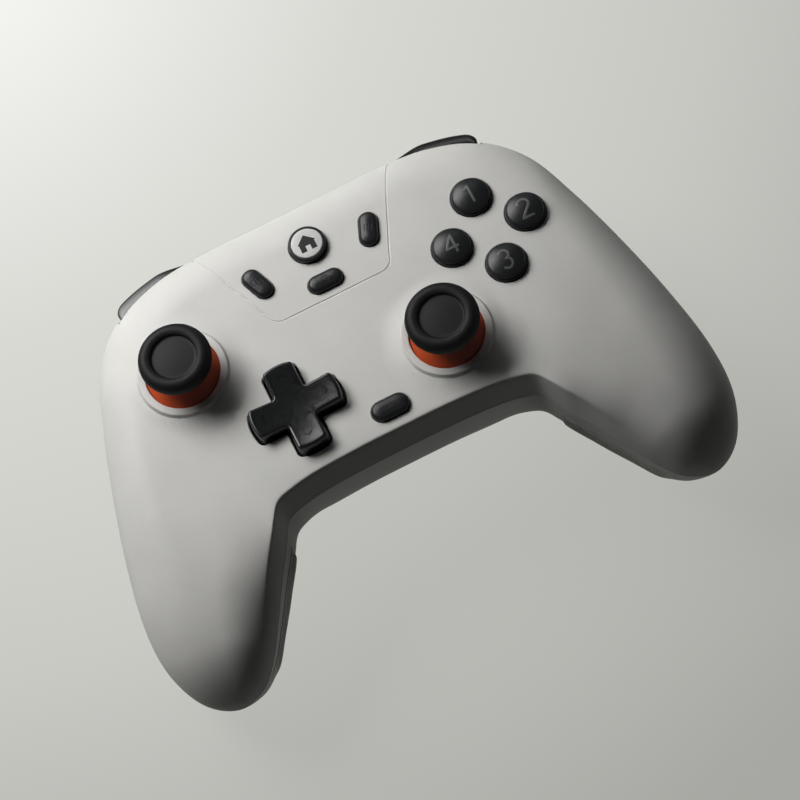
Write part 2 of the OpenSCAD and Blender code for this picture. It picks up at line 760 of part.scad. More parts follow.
module dpad_rocker() {
    color(grey_plastic) at_dpad() translate([0, 0, rock_z]) difference() {
        union() {
            rod(rocker_r[1], [-rocker_t / 2, rocker_t / 2]);
            rod_x(trunnion_r, [-rocker_post[1] + 0.2, rocker_post[1] - 0.2]);
        }
        rod(rocker_r[0], [-rocker_t, rocker_t]);
        rod_y(trunnion_r + pin_gap, [-rocker_r[1] - 1, rocker_r[1] + 1]);
    }
}

module dpad_base() {
    color(silicone_grey) at_dpad() difference() {
        union() {
            rod(dpad_d / 2, [board_top, board_top + 1]);
            for (a = [0:90:270]) rotate(a) translate([contact_at, 0])
                rod(contact_r, [board_top, rock_z - 1.9]);
            both_sides() block(rocker_post, [-1.6, 1.6], [board_top, rock_z + 1.6]);
        }
        translate([0, 0, rock_z]) rod_x(trunnion_r + pin_gap, [-rocker_post[1] - 1, rocker_post[1] + 1]);
    }
}

// Push buttons, held under the face by their flanges
guide_t = 1.2;
guide_foot = inside_z - 0.5;
flange_t = 1;
flange = 0.9;
flange_top = guide_foot - gap;
button_foot = flange_top - flange_t - 1.2;

// Rim round the foot of a face button's dome
rim_h = 0.6;
rim_w = 0.45;

module face_button(angle) {
    r = face_d / 2;
    top = face_z + face_rise;
    color(soft_black) at_cluster() rotate(angle) translate([cluster_r, 0]) rotate(-angle) turned([
        [0, button_foot], [r - 1, button_foot], [r - 1, flange_top - flange_t],
        [r + flange, flange_top - flange_t], [r + flange, flange_top], [r, flange_top],
        [r, face_z + rim_h - 0.15], [r - 0.15, face_z + rim_h], [r - rim_w, face_z + rim_h],
        [r - rim_w, top - 1.15], [r - rim_w - 0.25, top - 0.85], [r - 1.9, top - 0.48],
        [r - 3.4, top - 0.15], [0, top]
    ]);
}
module face_button_right() face_button(0);
module face_button_top() face_button(90);
module face_button_left() face_button(180);
module face_button_bottom() face_button(270);

module face_membrane() {
    foot_r = face_d / 2 - 0.6;
    top = button_foot - face_travel - gap;
    color(silicone_grey) at_cluster() {
        rod(cluster_r + 1, [board_top, board_top + 1]);
        for (a = [0:90:270]) rotate(a) translate([cluster_r, 0]) turned([
            [0, board_top], [foot_r, board_top], [foot_r, board_top + 1.6], [foot_r - 1.4, top - 0.5],
            [foot_r - 1.9, top], [0, top]
        ]);
    }
}

inlay_t = 0.7;
inlay_proud = 0.1;
module home_button() {
    r = home_d / 2;
    top = face_z + pill_rise;
    color(soft_black) translate([0, home_y, 0]) difference() {
        turned([
            [0, button_foot], [r - 1, button_foot], [r - 1, flange_top - flange_t],
            [r + flange, flange_top - flange_t], [r + flange, flange_top], [r, flange_top],
            [r, top - 0.45], [r - 0.12, top - 0.14], [r - 0.4, top], [0, top]
        ]);
        rod(inlay_d / 2 + pin_gap, [top + inlay_proud - inlay_t, top + 1]);
    }
}

module home_inlay() {
    top = face_z + pill_rise + inlay_proud;
    color(inlay_white) translate([0, home_y, 0]) rod(inlay_d / 2, [top - inlay_t, top]);
}

module pill_button(grow) {
    top = face_z + pill_rise;
    step = 0.35;
    color(soft_black) {
        translate([0, 0, button_foot]) linear_extrude(flange_top - button_foot) pill_outline(grow - 0.6);
        translate([0, 0, flange_top - flange_t]) linear_extrude(flange_t) pill_outline(grow + flange);
        translate([0, 0, flange_top]) linear_extrude(top - step - flange_top) pill_outline(grow);
        translate([0, 0, top - step]) linear_extrude(step) pill_outline(grow - step);
    }
}
module view_button() at_view() pill_button(0);
module menu_button() at_menu() pill_button(0);
module capture_button() at_capture() pill_button(0);
module mode_button() at_mode() pill_button(mode_grow);

// Bumpers: a curved bar along the top edge, on an upright pivot by its inner end
bumper_top = bay_roof - gap;
bumper_foot = bumper_top - bumper_h;
bumper_depth = [6, 3];
bumper_rows = 16;
bumper_crowding = 1.6;
bumper_sink = 0.3;
// Shares of its length where a bumper starts to stand out, is fully out and turns into its round end
bumper_swell = [0.08, 0.6, 0.88];
bumper_pivot = [bay_in + 0.178 * bay_w, bay_y + 6.6];
bumper_lug_r = 3;
bumper_post_r = 1.4;
// Along the ribs, where the outer line is at a given distance from the middle
function rib_at(x) = lookup(x, [for (k = [0:0.02:0.5]) [rib_out(k).x, k]]);
function bumper_share(i) = 1 - pow(1 - i / bumper_rows, bumper_crowding);
function bumper_out(f) =
    let (
        start = ease(f, bumper_swell[0], bumper_swell[1]),
        end = unit((f - bumper_swell[2]) / (1 - bumper_swell[2]))
    )
    (bumper_proud + bumper_sink) * start * sqrt(1 - end * end) - bumper_sink;
function bumper_chain(u, f) =
    let (
        proud = bumper_out(f),
        base = rib_out(u),
        dir = rib_dir(u),
        back = 0.5 - lerp(bumper_depth[0], bumper_depth[1], f),
        outline = [
            [back, 0], [proud - 2.2, 0], [proud - 0.7, -0.4], [proud, -1.5],
            [proud, 1.2 - bumper_h], [proud - 0.4, 0.4 - bumper_h], [proud - 1.2, -bumper_h],
            [back, -bumper_h]
        ]
    )
    [for (q = outline) let (p = base + dir * q[0]) [p.x, p.y, bumper_top + q[1]]];
function bumper_back(u, f) =
    let (base = rib_out(u) - rib_dir(u) * lerp(bumper_depth[0], bumper_depth[1], f))
    [for (q = [0:7]) [base.x, base.y, bumper_top - bumper_h * q / 7]];

module right_bumper() {
    fs = [for (i = [0:bumper_rows]) bumper_share(i)];
    us = [for (f = fs) lerp(rib_at(bay_top[0] + 0.4), rib_at(bay_top[1]), f)];
    color(gloss_black) difference() {
        union() {
            slab(
                [for (i = [0:bumper_rows]) bumper_chain(us[i], fs[i])],
                [for (i = [0:bumper_rows]) bumper_back(us[i], fs[i])]
            );
            translate(bumper_pivot) rod(bumper_lug_r, [bumper_foot, bumper_top]);
        }
        translate(bumper_pivot) rod(bumper_post_r + pin_gap, [bumper_foot - 1, bumper_top - 1]);
    }
}
module left_bumper() mirror([1, 0, 0]) right_bumper();

// Triggers: a curved finger face hung from a cross pin
trigger_pin_y = bay_y + 4.6;
trigger_top = bumper_foot - 0.7;
trigger_pin_drop = 3.2;
trigger_pin_z = trigger_top - trigger_pin_drop;
trigger_rows = 12;
trigger_lug = [
    [bay_in + 0.27 * bay_w, bay_in + 0.41 * bay_w],
    [bay_in + 0.61 * bay_w, bay_in + 0.74 * bay_w]
];
trigger_lug_r = 3;
// Finger face from top to tip: distance out of the case edge and share of the height
trigger_curve = [
    [-1.2, 0], [0.2, 0.02], [0.9, 0.1], [0.7, 0.3], [0.3, 0.52], [0.7, 0.72], [2, 0.88], [3.4, 0.97], [2.8, 1]
];
trigger_share = [0.55, 0.9, 1, 0.95, 0.9, 0.85, 0.75, 0.55, 0.3];
function trigger_chain(u, thick) =
    [for (i = [0:len(trigger_curve) - 1])
        let (q = trigger_curve[i], p = rib_out(u))
        [p.x, p.y + q[0] - thick * trigger_t * trigger_share[i], trigger_top - trigger_h * q[1]]];

module right_trigger() {
    ends = [rib_at(bay_top[0] + 0.8), rib_at(bay_top[1] - 0.3)];
    us = [for (i = [0:trigger_rows]) lerp(ends[0], ends[1], i / trigger_rows)];
    color(gloss_black) difference() {
        union() {
            slab([for (u = us) trigger_chain(u, 0)], [for (u = us) trigger_chain(u, 1)]);
            for (x = trigger_lug) {
                arm_z = span(trigger_pin_z, -trigger_lug_r, trigger_lug_r - 0.6);
                translate([0, trigger_pin_y, trigger_pin_z]) rod_x(trigger_lug_r, x);
                block(x, [trigger_pin_y, trigger_reach(x) - 0.4], arm_z);
            }
        }
        translate([0, trigger_pin_y, trigger_pin_z]) rod_x(pin_d / 2 + pin_gap, [bay_in, bay_out]);
    }
}
// How far back the finger face reaches at a lug
function trigger_reach(x) = rib_out(rib_at(x[1])).y;
module left_trigger() mirror([1, 0, 0]) right_trigger();

ear_in = [bay_in + 0.045 * bay_w, bay_in + 0.205 * bay_w];
ear_out = [bay_in + 0.76 * bay_w, bay_in + 0.83 * bay_w];
module right_trigger_pin() {
    color(steel) translate([0, trigger_pin_y, trigger_pin_z]) rod_x(pin_d / 2, [ear_in[0], ear_out[1]]);
}
module left_trigger_pin() mirror([1, 0, 0]) right_trigger_pin();

plate_t = 1.2;
module right_trigger_bracket() {
    low = trigger_pin_z - trigger_lug_r;
    color(grey_plastic) difference() {
        union() {
            block([ear_in[0], ear_out[1]], [bay_y, bay_y + plate_t], [low - 2, bumper_foot - 1]);
            block(ear_in, [bay_y, bumper_pivot.y + bumper_lug_r], [low, bumper_foot - gap]);
            block(ear_out, [bay_y, trigger_pin_y + pin_d / 2 + 0.8], [low, bumper_foot - 1]);
            translate(bumper_pivot) rod(bumper_post_r, [bumper_foot - 1, bumper_top - 1 - gap]);
        }
        translate([0, trigger_pin_y, trigger_pin_z]) rod_x(pin_d / 2 + pin_gap, [bay_in, bay_out]);
    }
}
module left_trigger_bracket() mirror([1, 0, 0]) right_trigger_bracket();

// Return spring: one wire coiled round the pin
spring_r = 2.1;
wire_r = 0.3;
spring_turns = 3;
spring_steps = 16;
spring_x = [trigger_lug[0][1] + 0.7, trigger_lug[1][0] - 0.7];
function spring_centre(t) =
    [lerp(spring_x[0], spring_x[1], t / spring_turns),
     trigger_pin_y + spring_r * cos(360 * t), trigger_pin_z + spring_r * sin(360 * t)];
// Least gap of the wire to itself, taken over points at least half a turn apart
spring_points = [for (i = [0:spring_turns * spring_steps]) spring_centre(i / spring_steps)];
spring_gap = min([
    for (i = [0:len(spring_points) - 1])
        for (j = [i + spring_steps / 2:1:len(spring_points) - 1])
            norm(spring_points[j] - spring_points[i]) - 2 * wire_r
]);
echo(spring_gap = spring_gap);
function spring_ring(t) =
    let (out = [0, cos(360 * t), sin(360 * t)])
    [for (a = [0:60:300]) spring_centre(t) + wire_r * (cos(a) * out + [sin(a), 0, 0])];
module right_trigger_spring() {
    n = spring_turns * spring_steps;
    points = [for (i = [0:n]) for (p = spring_ring(i / spring_steps)) p];
    sides = [for (i = [0:n - 1]) for (a = [0:5])
        let (b = (a + 1) % 6, near = i * 6, far = near + 6)
        for (t = [[near + a, near + b, far + b], [near + a, far + b, far + a]]) t];
    ends = concat(
        [for (a = [1:4]) [0, a + 1, a]],
        [for (a = [1:4]) [n * 6, n * 6 + a, n * 6 + a + 1]]
    );
    color(steel) polyhedron(points, concat(sides, ends));
}
module left_trigger_spring() mirror([1, 0, 0]) right_trigger_spring();

// Inside
board_edge = gap + 0.1;
board_side = half_w - 21.6;
board_tongue = top_y - 7.4;
module board_outline() {
    tongue_x = screw_spots[0].x - boss_r - 1;
    back = bay_y - bay_wall - board_edge;
    half = [
        [tongue_x, board_tongue], [tongue_x, back], [board_side - 1, back], [board_side + 2, 20],
        [board_side, 2], [board_side - 11, -10], [33, notch_y + 4.5]
    ];
    polygon(concat(half, [for (i = [len(half) - 1:-1:0]) flip_x(half[i])]));
}

module main_board() {
    color(board_green) translate([0, 0, board_top - board_t]) linear_extrude(board_t) board_outline();
}

switch_w = 4;
switch_h = 3;
plunger_r = 1.2;
module tall_switch(top) {
    block([-1, 1] * switch_w / 2, [-1, 1] * switch_w / 2, [board_top, board_top + switch_h]);
    rod(plunger_r, [board_top, top]);
}
// Switch behind a bumper, in from the outer side of its bay
bumper_switch = [8.2, 4.2];

module tact_switches() {
    top = button_foot - pill_travel - gap;
    color(grey_plastic) {
        translate([0, home_y]) tall_switch(top);
        at_view() tall_switch(top);
        at_menu() tall_switch(top);
        at_capture() tall_switch(top);
        at_mode() tall_switch(top);
        both_sides() {
            switch_x = [bay_out - bumper_switch[0], bay_out - bumper_switch[1]];
            block(switch_x, [bay_y, bay_y + 2], span(bumper_foot, 1.5, 5.5));
            translate([(switch_x[0] + switch_x[1]) / 2, 0, bumper_foot + 3.5])
                rod_y(0.8, [bay_y + 1, bay_y + 3]);
        }
    }
}

usb_l = 8;
module usb_port() {
    t = 0.35;
    face_y = top_y - 1;
    color(steel) translate([0, face_y - usb_l, usb_z]) rotate([-90, 0, 0]) difference() {
        linear_extrude(usb_l) usb_outline(usb_size);
        translate([0, 0, t]) linear_extrude(usb_l) difference() {
            usb_outline(usb_size - [2 * t, 2 * t]);
            square([usb_size.x - 2.6, 0.7], center = true);
        }
    }
}

module battery_pack() {
    r = 1.5;
    color(battery_blue) translate([0, battery_y, battery_z]) linear_extrude(battery_t) {
        square([battery_w - 2 * r, battery_l], center = true);
        square([battery_w, battery_l - 2 * r], center = true);
        for (x = [-1, 1]) for (y = [-1, 1])
            translate([x * (battery_w / 2 - r), y * (battery_l / 2 - r)]) circle(r);
    }
}

shaft_r = 1;
weight_r = 6.5;
weight_l = 5;
module right_rumble_motor() {
    color(steel) motor_axis() {
        rod_y(motor_d / 2, [0, motor_l]);
        rod_y(shaft_r, [-weight_l - 2, 1]);
    }
}
module left_rumble_motor() mirror([1, 0, 0]) right_rumble_motor();

module right_rumble_weight() {
    color(grey_plastic) motor_axis() difference() {
        union() {
            intersection() {
                rod_y(weight_r, [-weight_l - 1, -1]);
                block([-weight_r, weight_r], [-weight_l - 2, 0], [-weight_r - 1, 0.4]);
            }
            rod_y(shaft_r + 1.2, [-weight_l - 1, -1]);
        }
        rod_y(shaft_r + pin_gap, [-weight_l - 2, 0]);
    }
}
module left_rumble_weight() mirror([1, 0, 0]) right_rumble_weight();

screw_head_t = 1.8;
socket_depth = 1;
module shell_screws() {
    color(steel) both_sides() for (i = [0:1]) translate(screw_spots[i]) difference() {
        union() {
            rod(screw_head_r, [screw_head_z[i] - screw_head_t, screw_head_z[i]]);
            rod(screw_d / 2, [screw_head_z[i] - 1, screw_end[i]]);
        }
        translate([0, 0, screw_head_z[i] - screw_head_t - 1])
            cylinder(r = screw_d * 0.5, h = socket_depth + 1, $fn = 6);
    }
}

front_shell();
rear_shell();
left_grip_panel();
right_grip_panel();
left_stick_cap();
left_stick_skirt();
left_stick_post();
left_stick_yoke();
left_stick_arch();
left_stick_housing();
right_stick_cap();
right_stick_skirt();
right_stick_post();
right_stick_yoke();
right_stick_arch();
right_stick_housing();
dpad();
dpad_rocker();
dpad_base();
face_button_top();
face_button_right();
face_button_bottom();
face_button_left();
face_membrane();
home_button();
home_inlay();
view_button();
menu_button();
capture_button();
mode_button();
left_bumper();
right_bumper();
left_trigger();
right_trigger();
left_trigger_pin();
right_trigger_pin();
left_trigger_spring();
right_trigger_spring();
left_trigger_bracket();
right_trigger_bracket();
main_board();
tact_switches();
usb_port();
battery_pack();
left_rumble_motor();
right_rumble_motor();
left_rumble_weight();
right_rumble_weight();
shell_screws();
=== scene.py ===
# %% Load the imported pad
import bpy
import json
import math
from functools import lru_cache
from mathutils import Matrix, Vector
from mathutils.bvhtree import BVHTree


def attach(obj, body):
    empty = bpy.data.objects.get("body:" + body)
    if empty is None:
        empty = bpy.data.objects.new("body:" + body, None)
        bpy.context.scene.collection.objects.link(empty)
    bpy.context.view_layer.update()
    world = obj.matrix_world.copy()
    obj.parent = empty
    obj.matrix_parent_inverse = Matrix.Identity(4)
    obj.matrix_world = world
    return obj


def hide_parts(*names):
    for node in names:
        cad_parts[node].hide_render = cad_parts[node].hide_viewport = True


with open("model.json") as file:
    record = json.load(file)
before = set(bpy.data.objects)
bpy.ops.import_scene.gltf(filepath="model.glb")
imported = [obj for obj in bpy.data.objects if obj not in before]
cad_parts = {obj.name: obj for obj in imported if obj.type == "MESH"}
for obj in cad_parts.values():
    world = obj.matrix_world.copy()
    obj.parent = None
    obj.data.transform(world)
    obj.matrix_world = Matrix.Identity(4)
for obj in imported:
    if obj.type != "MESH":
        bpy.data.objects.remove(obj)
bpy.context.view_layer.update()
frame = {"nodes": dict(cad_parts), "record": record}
MM = 0.001
nodes = frame["nodes"]


def deselect():
    bpy.ops.object.select_all(action="DESELECT")


deselect()

# %% [markdown]
# A picture is matched from its viewpoint outwards. The pad was photographed from above its near edge
# through a long lens, turned by nearly a third of a right angle. The three angles below were found by
# fitting the stick centres, the buttons and the outline, and the lens from how little the far grip shrinks.

# %% Camera
turn_about_z, tip_about_x, roll_about_y = 27.24, -22.92, 1.97
look_at = Vector((0, 6.9, 40)) * MM
aim_offset = Vector((-10.02, 13.18, 0)) * MM
camera_distance = 714 * MM
world_to_view = (
    Matrix.Rotation(math.radians(turn_about_z), 3, "Z")
    @ Matrix.Rotation(math.radians(tip_about_x), 3, "X")
    @ Matrix.Rotation(math.radians(roll_about_y), 3, "Y")
)
bpy.ops.object.camera_add()
camera = bpy.context.object
view_to_world = world_to_view.transposed()
camera.matrix_world = Matrix.Translation(
    look_at + view_to_world @ (Vector((0, 0, camera_distance)) - aim_offset)
) @ view_to_world.to_4x4()
camera.data.sensor_width = 36
camera.data.lens = 130.1
camera.data.clip_end = 10
bpy.context.scene.camera = camera
bpy.context.scene.view_settings.view_transform = "Standard"
print("camera stands at", [round(x, 3) for x in camera.location])

# %% [markdown]
# The pad lies on a pale floor under one near softbox behind its left shoulder. A grid in front of the softbox
# narrows its beam, so the back of the face is bright and the near grips sink into the dark. A row of small
# panels far behind is there for the bumpers to reflect. The floor glows by itself, but only where the camera
# or a reflection sees it: it stays pale without filling the shadows. The glow is a painted pool of light,
# brightest at a spot behind the pad's left side and darker further away.

# %% Floor, softbox and room
def node_material(name):
    material = bpy.data.materials.new(name)
    material.use_nodes = True
    tree = material.node_tree
    return material, tree, tree.nodes["Principled BSDF"]


def new_node(tree, kind, **values):
    node = tree.nodes.new(kind)
    for key, value in values.items():
        if key in node.inputs:
            node.inputs[key].default_value = value
        else:
            setattr(node, key, value)
    return node


def ramp(tree, factor, stops):
    node = tree.nodes.new("ShaderNodeValToRGB")
    tree.links.new(factor, node.inputs["Fac"])
    marks = node.color_ramp.elements
    while len(marks) < len(stops):
        marks.new(1.0)
    for mark, (place, tone) in zip(marks, stops):
        mark.position, mark.color = place, (*tone, 1)
    return node.outputs["Color"]


def seen_ray(tree):
    """One where the camera, a reflection or a view through glass looks, and nought for light that bounces."""
    path = new_node(tree, "ShaderNodeLightPath")
    result = path.outputs["Is Camera Ray"]
    for name in ("Is Glossy Ray", "Is Transmission Ray"):
        either = new_node(tree, "ShaderNodeMath", operation="MAXIMUM")
        tree.links.new(result, either.inputs[0])
        tree.links.new(path.outputs[name], either.inputs[1])
        result = either.outputs["Value"]
    return result


deselect()
bpy.ops.mesh.primitive_plane_add(size=6)
floor = bpy.context.object
floor.name = "studio_floor"
bpy.ops.object.mode_set(mode="EDIT")
bpy.ops.mesh.subdivide(number_cuts=11)
bpy.ops.transform.translate(value=(0, 0, -0.2 * MM))
bpy.ops.object.mode_set(mode="OBJECT")
glowing_floor, tree, shader = node_material("floor_with_painted_glow")
place = new_node(tree, "ShaderNodeTexCoord").outputs["Object"]
apart = new_node(tree, "ShaderNodeVectorMath", operation="DISTANCE")
tree.links.new(place, apart.inputs[0])
# painted pool of light: the floor's glow is brightest at this spot and fades with distance from it
painted_light_centre, fade_reach = Vector((-51, 192, 0)) * MM, 0.36
apart.inputs[1].default_value = painted_light_centre
shade = new_node(tree, "ShaderNodeMapRange", **{"From Min": 0.0, "From Max": fade_reach})
tree.links.new(apart.outputs["Value"], shade.inputs["Value"])
painted_light_tones = [
    (0.05, (0.78, 0.78, 0.76)),
    (0.34, (0.585, 0.59, 0.555)),
    (0.6, (0.51, 0.515, 0.483)),
    (0.9, (0.355, 0.36, 0.334)),
]
tone = ramp(tree, shade.outputs["Result"], painted_light_tones)
# the painted light tones glow only for camera, reflection and transmission rays
tree.links.new(tone, shader.inputs["Emission Color"])
tree.links.new(seen_ray(tree), shader.inputs["Emission Strength"])
shader.inputs["Base Color"].default_value = (0.1, 0.1, 0.095, 1)
shader.inputs["Roughness"].default_value = 0.9
shader.inputs["Specular IOR Level"].default_value = 0.1
floor.data.materials.append(glowing_floor)


def softbox(name, at, towards, width, height, power, tint=(1, 1, 1)):
    bpy.ops.object.light_add(type="AREA")
    lamp = bpy.context.object
    lamp.name = name
    lamp.data.shape, lamp.data.size, lamp.data.size_y = "RECTANGLE", width, height
    lamp.data.energy, lamp.data.color = power, tint
    lamp.location = at
    lamp.visible_camera = False
    lamp.rotation_euler = (Vector(towards) - Vector(at)).to_track_quat("-Z", "Y").to_euler()
    return lamp


key = softbox("key_softbox", (-0.2, 0.38, 0.33), (-0.08, 0.2, 0.035), 0.4, 0.35, 0.8, (1, 0.995, 0.98))
key.data.spread = math.radians(70)
for i in range(4):
    softbox(f"strip_{i}", (-0.5 + 0.3 * i, 0.85, 0.72), (0, 0.04, 0.03), 0.27, 0.1, 0.25)
world = bpy.data.worlds.new("room")
bpy.context.scene.world = world
world.use_nodes = True
tree = world.node_tree
level = new_node(tree, "ShaderNodeMapRange", **{"To Min": 0.009, "To Max": 0.15})
tree.links.new(seen_ray(tree), level.inputs["Value"])
tree.links.new(level.outputs["Result"], tree.nodes["Background"].inputs["Strength"])
tree.nodes["Background"].inputs["Color"].default_value = (0.96, 0.98, 1, 1)

# %% [markdown]
# Nearly everything on a pad is moulded plastic, and what sets the mouldings apart is their grain. The white
# case came from an etched mould, so it has a fine leathery grain; the small buttons are satin, the direction
# pad and the bumpers are polished, and the stick caps are rubber. One recipe serves them all: two close tones
# in soft patches, a grain that tips the surface, and a gloss that wanders a little.

# %% Moulded finishes
def moulded(name, dark, light, rough, grain_size, grain_depth, patch_size=12.0, **shader_values):
    """Plastic or rubber with tones, a roughness range, and a grain of a size and depth in mm."""
    material, tree, shader = node_material(name)
    place = new_node(tree, "ShaderNodeTexCoord").outputs["Object"]
    patches = new_node(tree, "ShaderNodeTexNoise", Scale=1 / (patch_size * MM), Detail=3.0)
    grain = new_node(tree, "ShaderNodeTexNoise", Scale=1 / (grain_size * MM), Detail=2.0, Roughness=0.55)
    tree.links.new(place, patches.inputs["Vector"])
    tree.links.new(place, grain.inputs["Vector"])
    tones = ramp(tree, patches.outputs["Fac"], [(0.3, dark), (0.7, light)])
    tree.links.new(tones, shader.inputs["Base Color"])
    spread = {"From Min": 0.3, "From Max": 0.7, "To Min": rough[0], "To Max": rough[1]}
    gloss = new_node(tree, "ShaderNodeMapRange", **spread)
    tree.links.new(grain.outputs["Fac"], gloss.inputs["Value"])
    tree.links.new(gloss.outputs["Result"], shader.inputs["Roughness"])
    bump = new_node(tree, "ShaderNodeBump", Strength=1.0, Distance=grain_depth * MM)
    tree.links.new(grain.outputs["Fac"], bump.inputs["Height"])
    tree.links.new(bump.outputs["Normal"], shader.inputs["Normal"])
    for key, value in shader_values.items():
        shader.inputs[key.replace("_", " ")].default_value = value
    return material


finishes = {
    "case": moulded("etched_white", (0.70, 0.695, 0.67), (0.745, 0.74, 0.715), (0.5, 0.62), 0.55, 0.012),
    "rubber": moulded(
        "black_rubber", (0.0055, 0.006, 0.0065), (0.009, 0.0095, 0.010), (0.5, 0.64), 0.18, 0.012, 6,
        Specular_IOR_Level=0.3,
    ),
    "skirt": moulded("orange_satin", (0.56, 0.075, 0.018), (0.62, 0.095, 0.024), (0.3, 0.38), 0.4, 0.003, 8),
    "gloss": moulded(
        "polished_black", (0.004, 0.0045, 0.005), (0.007, 0.008, 0.0085), (0.16, 0.24), 0.9, 0.0012, 9
    ),
    "button": moulded(
        "satin_black", (0.007, 0.0078, 0.0085), (0.011, 0.012, 0.013), (0.3, 0.4), 0.3, 0.003, 5,
        Specular_IOR_Level=0.36,
    ),
    "inlay": moulded("inlay_white", (0.66, 0.665, 0.66), (0.72, 0.725, 0.72), (0.3, 0.4), 0.4, 0.002, 4),
    "inner_plastic": moulded(
        "inner_grey", (0.10, 0.10, 0.105), (0.14, 0.14, 0.145), (0.45, 0.6), 0.5, 0.008, 10
    ),
    "silicone": moulded("milky_silicone", (0.42, 0.43, 0.43), (0.5, 0.51, 0.51), (0.4, 0.55), 0.6, 0.004, 8),
    "battery": moulded("battery_wrap", (0.03, 0.05, 0.10), (0.045, 0.07, 0.13), (0.3, 0.42), 1.2, 0.01, 15),
    "board": moulded("board_mask", (0.008, 0.045, 0.02), (0.014, 0.07, 0.032), (0.25, 0.4), 0.9, 0.006, 5),
    "steel": moulded(
        "pressed_steel", (0.50, 0.50, 0.51), (0.6, 0.6, 0.61), (0.22, 0.38), 0.5, 0.003, 7, Metallic=1.0
    ),
    "brass": moulded(
        "weight_brass", (0.45, 0.37, 0.22), (0.55, 0.46, 0.28), (0.25, 0.4), 0.5, 0.003, 7, Metallic=1.0
    ),
}
print("finishes:", ", ".join(finishes))

# %% [markdown]
# The case is one loft: ribs run from the inner edge to the outer edge and walk from the middle of the
# pad down to the tip of a grip, and the other half is its mirror. Two smooth lines hold the ends of the
# ribs, and a few lists say how high the seam, the face and the back are along them.

# %% Lines and levels of the case
half_w, top_y, tip_y, notch_y, face_z = 78.6, 51.9, -55.5, -19.5, 40.0
shoulder_x, tip_roll, grip_swell = 60.7, 14.0, 3.1
tip = (half_w - 12.6, tip_y)
outer_line = [
    (0, top_y), (12, top_y + 0.1), (25, top_y + 0.1), (shoulder_x - 22.2, top_y - 0.8),
    (shoulder_x - 9.7, top_y - 4.9), (shoulder_x, top_y - 14.2), (half_w - 11.9, top_y - 28.3),
    (half_w - 6.9, 7.3), (half_w - 2.7, -10), (half_w, tip_y + 28.9), (half_w - 0.4, tip_y + 15.7),
    (half_w - 5, tip_y + 5.3), tip,
]
inner_line = [
    (0, notch_y), (12, notch_y - 0.1), (23, notch_y - 0.6), (30, notch_y - 1.7), (34.3, notch_y - 3.2),
    (36.7, notch_y - 6.7), (38.8, notch_y - 10.1), (41.5, notch_y - 13.8), (44.7, tip_y + 17.5),
    (48.3, tip_y + 12.4), (52.4, tip_y + 6.9), (58, tip_y + 1.5), tip,
]
ribs = len(outer_line) - 1
seam_in_drop = [8, 8, 8, 8, 8.2, 8.7, 9.6, 11, 13, 15.6, 18.7, 21.7, 24]
seam_out_drop = [7, 7, 7, 8, 9.5, 11.5, 14, 16.2, 18.2, 20, 21.8, 23.3, 24]
crown_drop = [0, 0, 0, 0, 0, 0.1, 0.5, 1.4, 2.8, 5, 8, 11.5, 15]
base_line = [0, 0, 0, 5, 11, 13, 11, 7, 2.5, -0.4, -0.4, 5, 12]
chamfer_run, seam_gap, wall = 2.4, 0.3, 2.0
print("ribs per half:", ribs, "from", outer_line[0], "to", tip)


# %% Helpers of the loft
def lerp(a, b, f):
    return a + (b - a) * f


def unit(x):
    return min(max(x, 0.0), 1.0)


def ease(x, start, stop):
    f = unit((x - start) / (stop - start))
    return f * f * (3 - 2 * f)


def quarter(x, power):
    return max(0.0, 1 - (1 - unit(x)) ** power) ** (1 / power)


def smooth_at(values, before, after, u):
    """Value of a smooth curve through the list, at the share u of its length."""
    last = len(values) - 1
    x = unit(u) * last
    i = min(int(x), last - 1)
    f = x - i
    a = before if i == 0 else values[i - 1]
    b, c = values[i], values[i + 1]
    d = after if i == last - 1 else values[i + 2]
    return 0.5 * (2 * b + (c - a) * f + (2 * a - 5 * b + 4 * c - d) * f * f + (3 * b - a - 3 * c + d) * f**3)


def line_at(line, other, u):
    before, after = (-line[1][0], line[1][1]), other[ribs - 1]
    return Vector([smooth_at([p[i] for p in line], before[i], after[i], u) for i in (0, 1)])


def level_at(levels, u):
    return smooth_at(levels, levels[1], 2 * levels[-1] - levels[-2], u)


@lru_cache(maxsize=None)
def rib(u):
    """Inner end, direction, width, levels and distance from the tip of a rib; u runs from 0 to 1."""
    inner, outer = line_at(inner_line, outer_line, u), line_at(outer_line, inner_line, u)
    width = (outer - inner).length
    along = (outer - inner) / width if width > 0.001 else Vector((1, 0))
    levels = [level_at(x, u) for x in (seam_in_drop, seam_out_drop, crown_drop, base_line)]
    return inner, along, width, levels, (Vector(tip) - (inner + outer) / 2).length


def tip_share(far, inset):
    return quarter((far - 1.2 * inset) / tip_roll, 2)


print("middle rib is", round(rib(0.0)[2], 1), "mm long, a grip's rib", round(rib(0.7)[2], 1))


# %% [markdown]
# The face climbs from the seam in three ways at once: a steep chamfer with a crisp crease along the inner
# edge, which melts into a round on the grips, and a wide soft roll along the top and the sides. Each is a
# share from 0 at the seam to 1 at full height, and their product shapes the surface. The back is made of
# two rounds in the same way and is cut level where the pad stands on the table.

# %% Surfaces of the case
def seam_at(levels, v):
    return face_z - lerp(levels[0], levels[1], v)


def chamfer_share(d):
    return 0.965 * unit(d / chamfer_run) + 0.035 * quarter((d - chamfer_run) / 12, 2)


def on_side(p, u, z):
    """The point p at height z, on the half of the pad that the sign of u names."""
    return Vector((math.copysign(p.x, u) if u else p.x, p.y, z))


